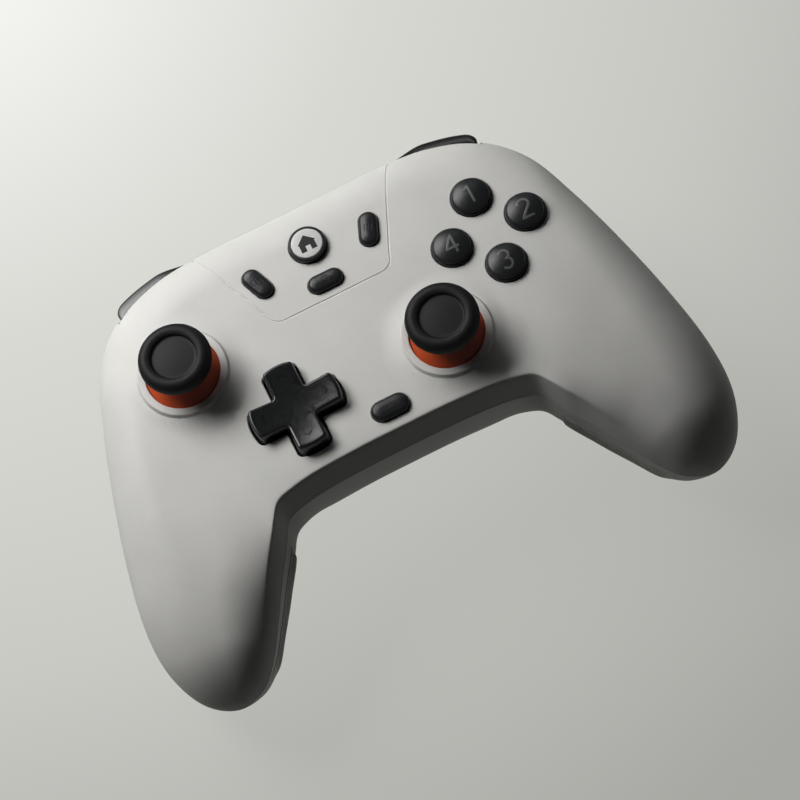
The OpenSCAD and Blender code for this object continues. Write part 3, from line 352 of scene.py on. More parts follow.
def front_point(u, d, inset=0.0):
    """A point of the face, d mm from the inner edge along the rib at u, sunk by inset into the wall."""
    inner, along, width, levels, far = rib(round(abs(u), 6))
    k, w = abs(u) * ribs, max(width - 2 * inset, 0.0)
    d = min(d, w)
    v = d / w if w > 0 else 0.0
    seam = seam_at(levels, v) + seam_gap / 2
    crown = face_z - levels[2] - inset
    roll = min(lerp(12, 18, ease(k, 2, 5)), 0.62 * w + 0.01)
    grip = min(14, 0.38 * w + 0.01)
    soft = sum(chamfer_share(d + s) for s in (-0.3, -0.15, 0, 0.15, 0.3)) / 5 if d > 0.3 else chamfer_share(d)
    climb = lerp(soft, quarter(d / grip, 2), ease(k, 5, 9.5))
    rise = climb * quarter((w - d) / roll, 2) * tip_share(far, inset)
    return on_side(inner + along * (inset + d), u, seam + (crown - seam) * rise)


def rear_inner(k, w):
    return min(lerp(26, 18, ease(k, 3, 7)), 0.5 * w + 0.01)


def rear_point(u, d, inset=0.0):
    """A point of the back, found in the same way."""
    inner, along, width, levels, far = rib(round(abs(u), 6))
    k, w = abs(u) * ribs, max(width - 2 * inset, 0.0)
    d = min(d, w)
    v = d / w if w > 0 else 0.0
    seam = seam_at(levels, v) - seam_gap / 2
    inner_roll = rear_inner(k, w)
    outer_roll = min(lerp(14, 18, ease(k, 2, 5)), 0.5 * w + 0.01)
    drop_in = quarter(d / inner_roll, 2.4)
    drop = drop_in * quarter((w - d) / outer_roll, 2.2) * tip_share(far, inset)
    bulge = 2 * drop_in * math.sqrt(1 - drop_in * drop_in)
    swell = grip_swell * ease(k, 2.2, 4.4) * (1 - ease(k, 4, 11)) * bulge
    z = max(seam - (seam - levels[3] - inset) * drop, inset)
    return on_side(inner + along * (inset + d - swell), u, z)


def seam_point(u, d, inset, shift):
    inner, along, width, levels = rib(round(abs(u), 6))[:4]
    w = max(width - 2 * inset, 0.0)
    d = min(d, w)
    return on_side(inner + along * (inset + d), u, seam_at(levels, d / w if w > 0 else 0.0) + shift)


print("face above the middle:", front_point(0.0, 40)[2], "mm, back:", rear_point(0.0, 40)[2], "mm")


# %% [markdown]
# Blender's grid is the sheet that gets draped over this loft. Its own coordinates, from -1 to 1, are read
# as the place along the case and across it, and each vertex is slid to its point. The two short ends of
# the sheet shrink to the grip tips, so merging the doubles there leaves one closed edge. Two such sheets
# bridged along that edge are a shell with a wall.

# %% Sheets and shells
def take(obj):
    if bpy.context.mode != "OBJECT":
        bpy.ops.object.mode_set(mode="OBJECT")
    deselect()
    obj.select_set(True)
    bpy.context.view_layer.objects.active = obj
    return obj


def edit(obj, selected=True):
    take(obj)
    bpy.ops.object.mode_set(mode="EDIT")
    bpy.ops.mesh.select_mode(type="VERT")
    bpy.ops.mesh.select_all(action="SELECT" if selected else "DESELECT")


def leave_edit():
    bpy.ops.object.mode_set(mode="OBJECT")


def leave_outwards():
    """Turns all faces of a closed shape outwards and leaves edit mode."""
    bpy.ops.mesh.select_all(action="SELECT")
    bpy.ops.mesh.normals_make_consistent(inside=False)
    leave_edit()


sheet_rows, sheet_cols = 200, 60
crease_runs = [0, 0.8, 1.5, 1.9, 2.15, 2.3, 2.4, 2.5, 2.65, 2.95, 3.5, 4.4]


def across(j, width):
    """Distance of column j from the inner edge: columns crowd round the crease and near the outer edge."""
    squeeze = min(1.0, 0.3 * width / crease_runs[-1])
    near = len(crease_runs) - 1
    if j <= near:
        return crease_runs[j] * squeeze
    f = (j - near) / (sheet_cols - near)
    return lerp(crease_runs[-1] * squeeze, width, math.sin(f * math.pi / 2))


def drape(name, point, inset):
    """A grid whose vertices are slid onto a surface of the case."""
    deselect()
    bpy.ops.mesh.primitive_grid_add(x_subdivisions=sheet_rows, y_subdivisions=sheet_cols, size=2)
    sheet = bpy.context.object
    sheet.name = name
    reach = 1.0
    while rib(round(reach, 6))[2] < 2 * inset:
        reach -= 0.002
    for vertex in sheet.data.vertices:
        u = math.copysign(reach * (1 - (1 - abs(vertex.co.x)) ** 1.6), vertex.co.x)
        width = max(rib(round(abs(u), 6))[2] - 2 * inset, 0.0)
        j = round((vertex.co.y + 1) / 2 * sheet_cols)
        vertex.co = point(u, across(j, width)) * MM
    return sheet


def close_shell(name, outer, inner):
    """Joins two draped sheets along their edges into one solid."""
    take(outer)
    inner.select_set(True)
    bpy.ops.object.join()
    outer.name = name
    edit(outer)
    bpy.ops.mesh.remove_doubles(threshold=0.000002)
    bpy.ops.mesh.select_all(action="DESELECT")
    bpy.ops.mesh.select_mode(type="EDGE")
    bpy.ops.mesh.select_non_manifold(
        extend=False, use_wire=False, use_multi_face=False, use_non_contiguous=False, use_verts=False
    )
    bpy.ops.mesh.bridge_edge_loops()
    leave_outwards()
    return outer


def combine(target, tool, operation):
    """Adds a tool to a piece, or cuts it out or down to it, and throws the tool away."""
    take(target)
    step = target.modifiers.new("combine", "BOOLEAN")
    step.operation, step.object, step.solver = operation, tool, "MANIFOLD"
    bpy.ops.object.modifier_apply(modifier=step.name)
    bpy.data.objects.remove(tool)
    return target


def smooth(obj, angle=32):
    take(obj)
    bpy.ops.object.shade_smooth_by_angle(angle=math.radians(angle))
    return obj


left_stick, right_stick, dpad_spot, cluster = (-42.0, 21.3), (20.7, -0.8), (-20.7, -0.8), (42.0, 19.7)
foot_from, foot_to, foot_lift = 11.2, 15.4, 0.95


def face_point(u, d):
    """A point of the face with the soft feet of the two stick collars."""
    p = front_point(u, d)
    for x, y in (left_stick, right_stick):
        p.z += foot_lift * (1 - ease(math.hypot(p.x - x, p.y - y), foot_from, foot_to))
    return p


front_shell = close_shell(
    "front_shell_moulding",
    drape("face_outside", face_point, 0),
    drape("face_inside", lambda u, d: front_point(u, d, wall), wall),
)
print("face sheet:", len(front_shell.data.vertices), "vertices")

# %% [markdown]
# Openings are cut with simple tools, as they would be milled. A turned tool is a profile spun about an
# upright axis, and a prism is an outline pulled upwards. Both start from a circle primitive whose vertices
# are moved to the profile or the outline.


# %% Turned tools, prisms and tubes
def ring(name, points, fill):
    deselect()
    bpy.ops.mesh.primitive_circle_add(vertices=len(points), radius=1, fill_type=fill)
    obj = bpy.context.object
    obj.name = name
    for vertex, p in zip(obj.data.vertices, points):
        vertex.co = Vector(p) * MM
    return obj


def turned(name, profile, steps=96, at=(0, 0)):
    """A solid of revolution: profile holds radius and height in mm, and may touch the axis."""
    obj = ring(name, [(r, 0, z) for r, z in profile], "NOTHING")
    edit(obj)
    bpy.ops.mesh.spin(steps=steps, angle=2 * math.pi, center=(0, 0, 0), axis=(0, 0, 1))
    bpy.ops.mesh.select_all(action="SELECT")
    bpy.ops.mesh.remove_doubles(threshold=0.000001)
    bpy.ops.mesh.delete_loose()
    bpy.ops.mesh.select_all(action="SELECT")
    bpy.ops.mesh.normals_make_consistent(inside=False)
    bpy.ops.transform.translate(value=(at[0] * MM, at[1] * MM, 0))
    leave_edit()
    return obj


def prism(name, outline, low, high):
    """An outline in mm pulled up from one height to another."""
    obj = ring(name, [(x, y, low) for x, y in outline], "NGON")
    edit(obj)
    bpy.ops.mesh.extrude_region_move(TRANSFORM_OT_translate={"value": (0, 0, (high - low) * MM)})
    leave_outwards()
    return obj


def tube(name, points, radius, closed=False):
    """A round bead along points in mm: an edge chain made a curve, thickened and made a mesh again."""
    obj = ring(name, points, "NOTHING")
    if not closed:
        edit(obj, selected=False)
        bpy.ops.mesh.select_mode(type="EDGE")
        leave_edit()
        ends = {0, len(points) - 1}
        for edge in obj.data.edges:
            edge.select = set(edge.vertices) == ends
        bpy.ops.object.mode_set(mode="EDIT")
        bpy.ops.mesh.delete(type="EDGE_FACE")
        leave_edit()
    bpy.ops.object.convert(target="CURVE")
    obj = bpy.context.object
    obj.data.bevel_depth, obj.data.bevel_resolution, obj.data.use_fill_caps = radius * MM, 3, True
    bpy.ops.object.convert(target="MESH")
    obj = bpy.context.object
    edit(obj)
    bpy.ops.mesh.remove_doubles(threshold=0.0000005)
    leave_outwards()
    return obj


def box(name, x, y, z):
    deselect()
    bpy.ops.mesh.primitive_cube_add(size=1)
    obj = bpy.context.object
    obj.name = name
    for vertex in obj.data.vertices:
        vertex.co = Vector([(s[1] if c > 0 else s[0]) * MM for c, s in zip(vertex.co, (x, y, z))])
    return obj


def join(name, parts):
    take(parts[0])
    for part in parts[1:]:
        part.select_set(True)
    if len(parts) > 1:
        bpy.ops.object.join()
    parts[0].name = name
    return parts[0]


def arc(x, y, r, start, stop, steps):
    angles = [math.radians(lerp(start, stop, i / steps)) for i in range(steps + 1)]
    return [(x + r * math.cos(a), y + r * math.sin(a)) for a in angles]


def pill(length, width, grow=0.0, steps=16):
    run, r = (length - width) / 2, width / 2 + grow
    return arc(run, 0, r, -90, 90, steps) + arc(-run, 0, r, 90, 270, steps)


def placed(outline, x, y, turn):
    c, s = math.cos(math.radians(turn)), math.sin(math.radians(turn))
    return [(x + px * c - py * s, y + px * s + py * c) for px, py in outline]


print("tools ready: a pill outline has", len(pill(9.6, 5.4)), "points")

# %% [markdown]
# The trigger bays are closed by walls that belong to the shells, and the screws stand in round bosses.
# Both are cut from a solid core that lies inside the wall of the shell, so that no two skins coincide.

# %% Bays and bosses
bay_in, bay_out, bay_y, bay_roof, bay_wall = 25.6, 51.5, 38.0, 35.3, 1.6
bay_back, bay_foot = 72, -10
screw_spots, screw_head_z = [(18.6, 44.6), (63.5, tip_y + 11)], [14, 6]
screw_head_r, screw_hole_r, screw_run, boss_r = 2.9, 1.36, 18, 3.2


def bay_boxes(name, grow):
    made = []
    for s in (-1, 1):
        x = sorted((s * (bay_in - grow), s * (bay_out + grow)))
        made.append(box(name, x, (bay_y - grow, bay_back), (bay_foot, bay_roof + grow)))
    return join(name, made)


def bosses(name):
    spots = [(s * x, y) for s in (-1, 1) for x, y in screw_spots]
    return [prism(name, placed(arc(0, 0, boss_r, 0, 354, 59), x, y, 0), 0.5, face_z) for x, y in spots]


def screw_tools():
    made = []
    for s in (-1, 1):
        for (x, y), head in zip(screw_spots, screw_head_z):
            profile = [(0, -1), (screw_head_r, -1), (screw_head_r, head), (screw_hole_r, head)]
            profile += [(screw_hole_r, head + screw_run), (0, head + screw_run)]
            made.append(turned("screw_tool", profile, 40, (s * x, y)))
    return join("screw_tools", made)


def add_core(shell, core):
    zone = join("zone", [bay_boxes("bay_zone", bay_wall), *bosses("boss")])
    combine(core, zone, "INTERSECT")
    return combine(shell, core, "UNION")


core = close_shell(
    "front_core",
    drape("core_top", lambda u, d: front_point(u, d, 0.8), 0.8),
    drape("core_foot", lambda u, d: seam_point(u, d, 0.8, 0.35), 0.8),
)
add_core(front_shell, core)
print("face with bays and bosses:", len(front_shell.data.polygons), "faces")

# %% [markdown]
# A stick stands in a raised collar. Its soft foot is already in the face, because the sheet was lifted round
# the two sticks, and what is left is a crisp lip: a turned ring with a flat top and a short steep wall.

# %% Collars of the sticks
collar_r, collar_lip, collar_top = 9.6, 1.85, face_z + 1.8


def collar(name, spot):
    edge = collar_r + collar_lip
    profile = [(collar_r - 0.3, 38.2)]
    for out, z in ((2.1, 38.2), (1.45, 39.4), (0.85, 40.3), (0.45, 40.8), (0.2, 41.2), (0.05, 41.5)):
        profile.append((edge + out, z))
    profile += [(edge - 0.3 + 0.33 * x, collar_top - 0.27 + 0.27 * y) for x, y in arc(0, 0, 1, 10, 90, 6)]
    profile += [(collar_r + 0.22 - 0.22 * x, collar_top - 0.2 + 0.2 * y) for x, y in arc(0, 0, 1, 90, 0, 5)]
    return turned(name, profile + [(collar_r - 0.3, 41.3)], 144, spot)


for name, spot in (("left_collar", left_stick), ("right_collar", right_stick)):
    combine(front_shell, collar(name, spot), "UNION")


def stick_tool(spot):
    profile = [(0, 35), (13.6, 35), (12.5, 38), (11.4, 40), (collar_r, 41.4), (collar_r, 46), (0, 46)]
    return turned("stick_tool", profile, 144, spot)


for spot in (left_stick, right_stick):
    combine(front_shell, stick_tool(spot), "DIFFERENCE")
print("face with collars:", len(front_shell.data.polygons), "faces")

# %% [markdown]
# Every button comes up through its own hole. A small chamfer breaks each rim, as a moulding tool does, so
# it catches a line of light. Both the cutters and the buttons are stacks: an outline is pulled up level by
# level, and at each level its vertices are moved to a new outline with the same number of points.

# %% Stacks of outlines
def stacked(name, levels):
    """A solid through outlines: levels holds points with one height or a list, as many points in each."""
    points, z = levels[0]
    obj = ring(name, [(x, y, z) for x, y in points], "NGON")
    edit(obj)
    pull = {"value": (0, 0, 0.5 * MM)}
    for below, above in zip(levels, levels[1:]):
        bpy.ops.mesh.extrude_region_move(TRANSFORM_OT_translate=pull)
        leave_edit()
        for vertex in obj.data.vertices:
            if vertex.select:
                here = vertex.co.xy / MM
                i = min(range(len(below[0])), key=lambda n: (here - Vector(below[0][n])).length_squared)
                height = above[1][i] if isinstance(above[1], list) else above[1]
                vertex.co = Vector((*above[0][i], height)) * MM
        bpy.ops.object.mode_set(mode="EDIT")
    leave_outwards()
    return obj


def disc_outline(r, x=0.0, y=0.0, count=72):
    return placed(arc(0, 0, r, 0, 360 * (1 - 1 / count), count - 1), x, y, 0)


def cross(grow, corner=1.1, inner=0.7, across_d=24.0, arm=8.4):
    """Outline of the direction pad: arms with arched ends and rounded corners."""
    h, big = arm / 2 + grow, across_d / 2 + grow
    c, n = max(corner + grow, 0.3), max(inner - grow, 0.2)
    end = math.degrees(math.asin((h - c) / (big - c)))
    side_x = (big - c) * math.cos(math.radians(end))
    points = []
    for turn in (0, 90, 180, 270):
        part = arc(h + n, -h - n, n, 180, 90, 5)
        part += arc(side_x, -h + c, c, -90, -end, 7)
        part += arc(0, 0, big, -end, end, 12)[1:-1]
        part += arc(side_x, h - c, c, end, 90, 7)
        points += placed(part, 0, 0, turn)
    return points


print("the cross has", len(cross(0)), "points")

# %% [markdown]
# The holes follow the outlines of the buttons with a narrow gap. The fine groove that frames the small
# buttons is a bead along a path, half sunk in the face and cut away, so the face is first probed for its
# height with rays from above.

# %% Holes of the buttons and the panel groove
cluster_r, home_y, menu_y, capture_y, mode_y = 10.2, 38.1, 34.6, 27.0, -11.5
face_r, home_r, pill_l, pill_w, mode_grow = 5.2, 4.85, 9.3, 4.8, 0.3
pill_places = {
    "view": (-15.5, menu_y, 111),
    "menu": (15.5, menu_y, 69),
    "capture": (0, capture_y, 0),
    "mode": (0, mode_y, 0),
}
face_skin = BVHTree.FromObject(front_shell, bpy.context.evaluated_depsgraph_get())


def height_on(skin, x, y):
    """Height in mm at which a ray from above meets a skin."""
    hit = skin.ray_cast(Vector((x * MM, y * MM, 0.1)), Vector((0, 0, -1)))[0]
    return hit.z / MM if hit else face_z


def pill_at(name, grow):
    return placed(pill(pill_l, pill_w, grow + (mode_grow if name == "mode" else 0)), *pill_places[name])


face_spots = dict(zip(("right", "top", "left", "bottom"), arc(*cluster, cluster_r, 0, 270, 3)))
hole_gap, rim_break = 0.16, 0.2


def hole_tool(outline):
    """A cutter that widens at the surface of the face."""
    straight, wide = outline(hole_gap), outline(hole_gap + rim_break)
    levels = [(straight, 34), (straight, face_z - rim_break), (wide, face_z + 0.02), (wide, 46)]
    return stacked("hole", levels)


outlines = [lambda g, s=spot: disc_outline(face_r + g, *s) for spot in face_spots.values()]
outlines += [lambda g: disc_outline(home_r + g, 0, home_y)]
outlines += [lambda g, n=name: pill_at(n, g) for name in pill_places]
outlines += [lambda g: placed(cross(g + 0.4), *dpad_spot, 0)]
combine(front_shell, join("holes", [hole_tool(outline) for outline in outlines]), "DIFFERENCE")
combine(front_shell, bay_boxes("bays", 0), "DIFFERENCE")
combine(front_shell, screw_tools(), "DIFFERENCE")

corner = [(27.6, 50.6), (25.9, 47.1), (17.4, 26.4)] + arc(13.3, 26.3, 3.9, -20, -88, 8)
path = corner + [(-x, y) for x, y in corner[::-1]]


def filled(points, step):
    """The same path with points no further apart than a step."""
    more = []
    for a, b in zip(points, points[1:]):
        parts = max(1, math.ceil(math.dist(a, b) / step))
        more += [tuple(lerp(p, q, i / parts) for p, q in zip(a, b)) for i in range(parts)]
    return more + [points[-1]]


groove = tube("groove", [(x, y, height_on(face_skin, x, y) + 0.1) for x, y in filled(path, 1.2)], 0.27)
combine(front_shell, groove, "DIFFERENCE")
smooth(front_shell, 35)


def give(obj, finish, body, *replaced, material=None):
    """Hands a finished piece its finish and the body that it moves with."""
    obj.data.materials.clear()
    obj.data.materials.append(material or finishes[finish])
    if replaced:
        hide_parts(*replaced)
    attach(obj, body)
    return obj


give(front_shell, "case", "case", "front_shell")
print("finished face:", len(front_shell.data.polygons), "faces")

# %% [markdown]
# The back half is made the same way, with the charging socket's slot in its top edge. The slot is a prism
# whose vertices are turned from upright to level, and such a turn can leave a shape inside out.

# %% Rear shell
def face_outwards(obj):
    edit(obj)
    leave_outwards()
    return obj


rear_shell = close_shell(
    "rear_shell_moulding",
    drape("back_outside", lambda u, d: rear_point(u, d), 0),
    drape("back_inside", lambda u, d: rear_point(u, d, wall), wall),
)
core = close_shell(
    "rear_core",
    drape("core_top", lambda u, d: seam_point(u, d, 0.8, -0.35), 0.8),
    drape("core_foot", lambda u, d: rear_point(u, d, 0.8), 0.8),
)
add_core(rear_shell, core)
combine(rear_shell, bay_boxes("bays", 0), "DIFFERENCE")
combine(rear_shell, screw_tools(), "DIFFERENCE")
usb_z = 28.6
slot = prism("slot", pill(9.6, 3.8), 0, 14)
for vertex in slot.data.vertices:
    vertex.co = Vector((vertex.co.x, 0.046 + vertex.co.z, usb_z * MM + vertex.co.y))
combine(rear_shell, face_outwards(slot), "DIFFERENCE")
smooth(rear_shell, 35)
give(rear_shell, "case", "case", "rear_shell")
print("finished back:", len(rear_shell.data.polygons), "faces")

# %% [markdown]
# The inner side of each grip carries a ribbed panel for the fingertips. Its ribs are real: a fine grid is
# laid on the back along the normals, and its height follows a wave along the grip. All round it the grid
# sinks back into the case, so the panel grows out of the wall without a step.

# %% Grip panels
panel_from, panel_to, panel_rows, panel_cols = 5.2, 10.6, 420, 24
panel_drop, panel_t, panel_sunk, rib_pitch, rib_depth = (0.2, 0.88), 0.4, -0.5, 0.78, 0.34


def lay_grid(name, rows, cols, point):
    """A grid whose vertices take the places that point gives for shares along and across."""
    deselect()
    bpy.ops.mesh.primitive_grid_add(x_subdivisions=rows, y_subdivisions=cols, size=2)
    sheet = bpy.context.object
    sheet.name = name
    for vertex in sheet.data.vertices:
        vertex.co = point((vertex.co.x + 1) / 2, (vertex.co.y + 1) / 2) * MM
    return sheet


def rear_share(u, v):
    return rear_point(u, v * rib(round(abs(u), 6))[2])


@lru_cache(maxsize=None)
def panel_spot(f, g):
    """Place on the back and outward normal at shares along and down the panel."""
    u = lerp(panel_from + 0.5 * g, panel_to, f) / ribs
    share = lerp(*panel_drop, g)
    width = rib(round(u, 6))[2]
    v = (1 - (1 - share**2.4) ** (1 / 2.4)) * rear_inner(u * ribs, width) / width
    e = 0.002
    du, dv = rear_share(u + e, v) - rear_share(u - e, v), rear_share(u, v + e) - rear_share(u, v - e)
    return rear_share(u, v), dv.cross(du).normalized()


def panel_point(side, f, g, proud):
    place, out = panel_spot(round(f, 6), round(g, 6))
    p = place + out * proud
    return Vector((side * p.x, p.y, max(p.z, 0.8)))


panel_run = sum((panel_spot((i + 1) / 40, 0.4)[0] - panel_spot(i / 40, 0.4)[0]).length for i in range(40))
waves = round(panel_run / rib_pitch)


def panel(side):
    def top(f, g):
        ends = ease(f * panel_run, 0.1, 1.2) * ease((1 - f) * panel_run, 0.2, 5)
        hem = ends * ease(g, 0.02, 0.2) * ease(1 - g, 0.02, 0.16)
        wave = 0.5 + 0.5 * math.cos(2 * math.pi * waves * f)
        return panel_point(side, f, g, lerp(-0.15, panel_t - rib_depth * wave, hem))

    name = "right_grip_ribs" if side > 0 else "left_grip_ribs"
    obj = close_shell(
        name,
        lay_grid("ribs", panel_rows, panel_cols, top),
        lay_grid("seat", panel_rows, panel_cols, lambda f, g: panel_point(side, f, g, panel_sunk)),
    )
    smooth(obj, 50)
    print(name, "has", waves, "ribs over", round(panel_run, 1), "mm")
    return obj


give(panel(1), "case", "case", "right_grip_panel")
give(panel(-1), "case", "case", "left_grip_panel")

# %% [markdown]
# A stick's cap is a rubber doughnut with a smooth dished middle. Its rim is knurled so that a thumb doesn't
# slip. The cap is turned with as many steps as the knurl needs, and then every second vertex of the knurled
# band, as on a chessboard, is lifted along the profile's normal: that makes a field of tiny diamonds.

# %% Stick caps
cap_foot = 47.6
rim_mid, rim_a, rim_b = (7.05, 50.3), 2.05, 2.42
knurl_from, knurl_to, knurl_rows, knurl_steps, knurl_lift = -38, 124, 30, 240, 0.16


def rim_point(angle):
    a = math.radians(angle)
    return rim_mid[0] + rim_a * math.cos(a), rim_mid[1] + rim_b * math.sin(a)


def shifted(obj, spot):
    edit(obj)
    bpy.ops.transform.translate(value=(spot[0] * MM, spot[1] * MM, 0))
    leave_edit()
    return obj


def stick_cap(name, spot):
    rows = [lerp(knurl_from, knurl_to, i / knurl_rows) for i in range(knurl_rows + 1)]
    under = [(0, cap_foot), (6.6, cap_foot)] + [rim_point(a) for a in (-84, -72, -60, -48)]
    dish = [(5.74, 52.05), (5.6, 51.86), (5.4, 51.8), (5.0, 51.83)]
    dish += [(3.8, 51.93), (2.4, 52.03), (1.1, 52.08), (0, 52.09)]
    obj = turned(name, under + [rim_point(a) for a in rows] + dish, knurl_steps)
    for vertex in obj.data.vertices:
        x, y, z = vertex.co / MM
        r = math.hypot(x, y)
        angle = math.degrees(math.atan2((z - rim_mid[1]) / rim_b, (r - rim_mid[0]) / rim_a))
        row = (angle - knurl_from) / (knurl_to - knurl_from) * knurl_rows
        on_rim = abs(math.hypot((r - rim_mid[0]) / rim_a, (z - rim_mid[1]) / rim_b) - 1) < 0.004
        if on_rim and -0.01 < row < knurl_rows + 0.01:
            step = round(math.atan2(y, x) / (2 * math.pi) * knurl_steps)
            if (round(row) + step) % 2:
                tilt = math.radians(angle)
                out = Vector((math.cos(tilt) * x / r, math.cos(tilt) * y / r, math.sin(tilt)))
                vertex.co += out * knurl_lift * MM
    return smooth(shifted(obj, spot), 22)


for side, spot in (("left", left_stick), ("right", right_stick)):
    cap = give(stick_cap(side + "_stick_rubber", spot), "rubber", side + "_stick", side + "_stick_cap")
    print(cap.name, "with", len(cap.data.polygons), "faces")

# %% [markdown]
# Under the cap a bell-shaped skirt closes the opening at every tilt, because its lower part is a ball about
# the stick's pivot.

# %% Stick skirts
pivot_z, ball_r, skirt_t = 32.5, 12.8, 1.2


def stick_skirt(name, spot):
    sweep = [math.radians(lerp(24, 68, i / 20)) for i in range(21)]
    outside = [(ball_r * math.cos(a), pivot_z + ball_r * math.sin(a)) for a in sweep]
    neck = [(4.98, 45.0), (5.12, 45.5), (5.34, 46.0), (5.64, 46.5), (6.0, 46.95), (6.3, 47.3), (6.55, 47.58)]
    bore_r = ball_r - skirt_t
    inside = [(bore_r * math.cos(a), pivot_z + bore_r * math.sin(a)) for a in sweep[-2::-1]]
    hub = [(0, 47.58), (0, 39.7), (3.2, 39.7), (3.2, 42.1)]
    return smooth(turned(name, outside + neck + hub + inside, 96, spot), 40)


for side, spot in (("left", left_stick), ("right", right_stick)):
    skirt = give(stick_skirt(side + "_stick_bell", spot), "skirt", side + "_stick", side + "_stick_skirt")
    print(skirt.name, "with", len(skirt.data.polygons), "faces")

# %% [markdown]
# The direction pad is a polished cross with a dished top. The outline is stacked from the flange to the
# rim, the edge is rounded in a few levels, a fine groove follows the rim, and inside it the outline shrinks
# towards the middle while its height follows the dish.

# %% Direction pad
dpad_top, dish_r, dish_depth = 43.6, 60.0, 1.0


def dish_z(x, y):
    return dpad_top - dish_depth + (x * x + y * y) / (2 * dish_r)


def dished(points, drop):
    return [min(dish_z(x, y), dpad_top) - drop for x, y in points]


def dpad_levels():
    walls = ((1.2, 35.4), (1.2, 36.6), (0.0, 36.62), (0.0, 40.2), (-0.12, 41.6))
    levels = [(cross(grow), z) for grow, z in walls]
    edge = ((-0.2, 0.75), (-0.3, 0.42), (-0.46, 0.18), (-0.68, 0.04), (-0.9, 0.0))
    rim_groove = ((-1.15, 0.0), (-1.22, 0.1), (-1.4, 0.1), (-1.48, 0.0))
    for grow, drop in edge + rim_groove:
        levels.append((cross(grow), dished(cross(grow), drop)))
    for share in (0.86, 0.7, 0.52, 0.34, 0.16, 0.04):
        points = [(x * share, y * share) for x, y in cross(-1.48)]
        levels.append((points, dished(points, 0)))
    return levels


def chevron(at, turn, size):
    mark = [(-size * 0.5, -size), (size * 0.5, 0), (-size * 0.5, size)]
    return placed([(x + at, y) for x, y in mark], 0, 0, turn)


cross_pad = stacked("dpad_cross", dpad_levels())
for turn in (0, 90, 180, 270):
    mark = chevron(8.4, turn, 1.0)
    tool = tube("mark", [(x, y, dish_z(x, y) + 0.02) for x, y in mark], 0.17)
    combine(cross_pad, tool, "DIFFERENCE")
combine(cross_pad, turned("hollow", [(0, 35), (7.4, 35), (7.4, 38.2), (0, 38.2)], 64), "DIFFERENCE")
combine(cross_pad, turned("stem", [(0, 34.5), (2, 34.5), (2, 38.6), (0, 38.6)], 48), "UNION")
smooth(shifted(cross_pad, dpad_spot), 35)
give(cross_pad, "gloss", "dpad", "dpad")
print(cross_pad.name, "with", len(cross_pad.data.polygons), "faces")

# %% [markdown]
# The four face buttons are shallow domes that stand on a narrow rim. Each carries a thin grey numeral, drawn
# as the path of a round pen and then pressed flat onto the dome, vertex by vertex.

# %% Face buttons and numerals
button_top, dome_r, dome_edge, dome_side, rim_top = 42.6, 12.0, 4.35, 4.75, 40.6
foot_z, flange_low, flange_top, flange_out = 35.0, 36.2, 37.2, 0.9
print_grey = moulded("print_grey", (0.085, 0.088, 0.09), (0.105, 0.108, 0.11), (0.42, 0.5), 0.3, 0.001, 3)


def dome_z(r):
    """Height of a button's top: a wide dome whose edge turns down in a quarter round."""
    crown = button_top - (dome_r - math.sqrt(dome_r * dome_r - r * r))
    if r <= dome_edge:
        return crown
    f = (r - dome_edge) / (dome_side - dome_edge)
    return crown - 0.3 * (1 - math.sqrt(max(0.0, 1 - f * f)))


def flange(r):
    """Foot of a round button below the face: a stem, and a flange that keeps the button in its hole."""
    low, high = r - 1, r + flange_out
    stem = [(0, foot_z), (low, foot_z), (low, flange_low)]
    return stem + [(high, flange_low), (high, flange_top), (r, flange_top)]


def face_button(name, spot):
    radii = [lerp(0, dome_edge, i / 12) for i in range(13)]
    radii += [lerp(dome_edge, dome_side, math.sin(math.radians(15 * i))) for i in range(1, 7)]
    top = [(r, dome_z(r)) for r in radii]
    body = flange(face_r)
    body += [(face_r - 0.18 + 0.18 * x, rim_top - 0.18 + 0.18 * y) for x, y in arc(0, 0, 1, 0, 90, 5)]
    body += [(dome_side + 0.06, rim_top), (dome_side, rim_top + 0.06)]
    return smooth(turned(name, body + top[::-1][:-1] + [(0, button_top)], 96, spot), 35)


figures = {
    1: [(-1.0, 1.5), (0.15, 2.55), (0.15, -2.55)],
    2: arc(0, 1.05, 1.5, 170, -25, 14) + [(-1.55, -2.55), (1.6, -2.55)],
    3: arc(-0.1, 1.28, 1.3, 150, -90, 14) + arc(-0.1, -1.2, 1.38, 90, -150, 14)[1:],
    4: [(0.75, -2.55), (0.75, 2.55), (-1.65, -1.0), (1.7, -1.0)],
}
stroke_r, stroke_rise = 0.32, 0.035


def numeral(name, figure, spot):
    """A numeral drawn with a round pen, whose bead is pressed flat onto the dome."""
    obj = tube(name, [(x, y, 0) for x, y in filled(figures[figure], 0.5)], stroke_r)
    obj.name = name
    for vertex in obj.data.vertices:
        x, y, z = vertex.co / MM
        top = dome_z(math.hypot(x, y)) + stroke_rise * z / stroke_r
        vertex.co = Vector((spot[0] + x, spot[1] + y, top)) * MM
    return smooth(obj, 50)


for figure, side in enumerate(("top", "right", "bottom", "left"), 1):
    body, spot = "face_button_" + side, face_spots[side]
    give(face_button(body + "_dome", spot), "button", body, body)
    mark = give(numeral(body + "_numeral", figure, spot), "inlay", body, material=print_grey)
    print(body, "carries", figure, "with", len(mark.data.polygons), "faces")

# %% [markdown]
# The small buttons have well rounded tops with fine engraved marks: two overlapping squares, three bars, a
# ring, and a slash between dots. The marks are beads half sunk in the top and cut away.

# %% Small buttons
pill_top, pill_round = 41.6, 1.3


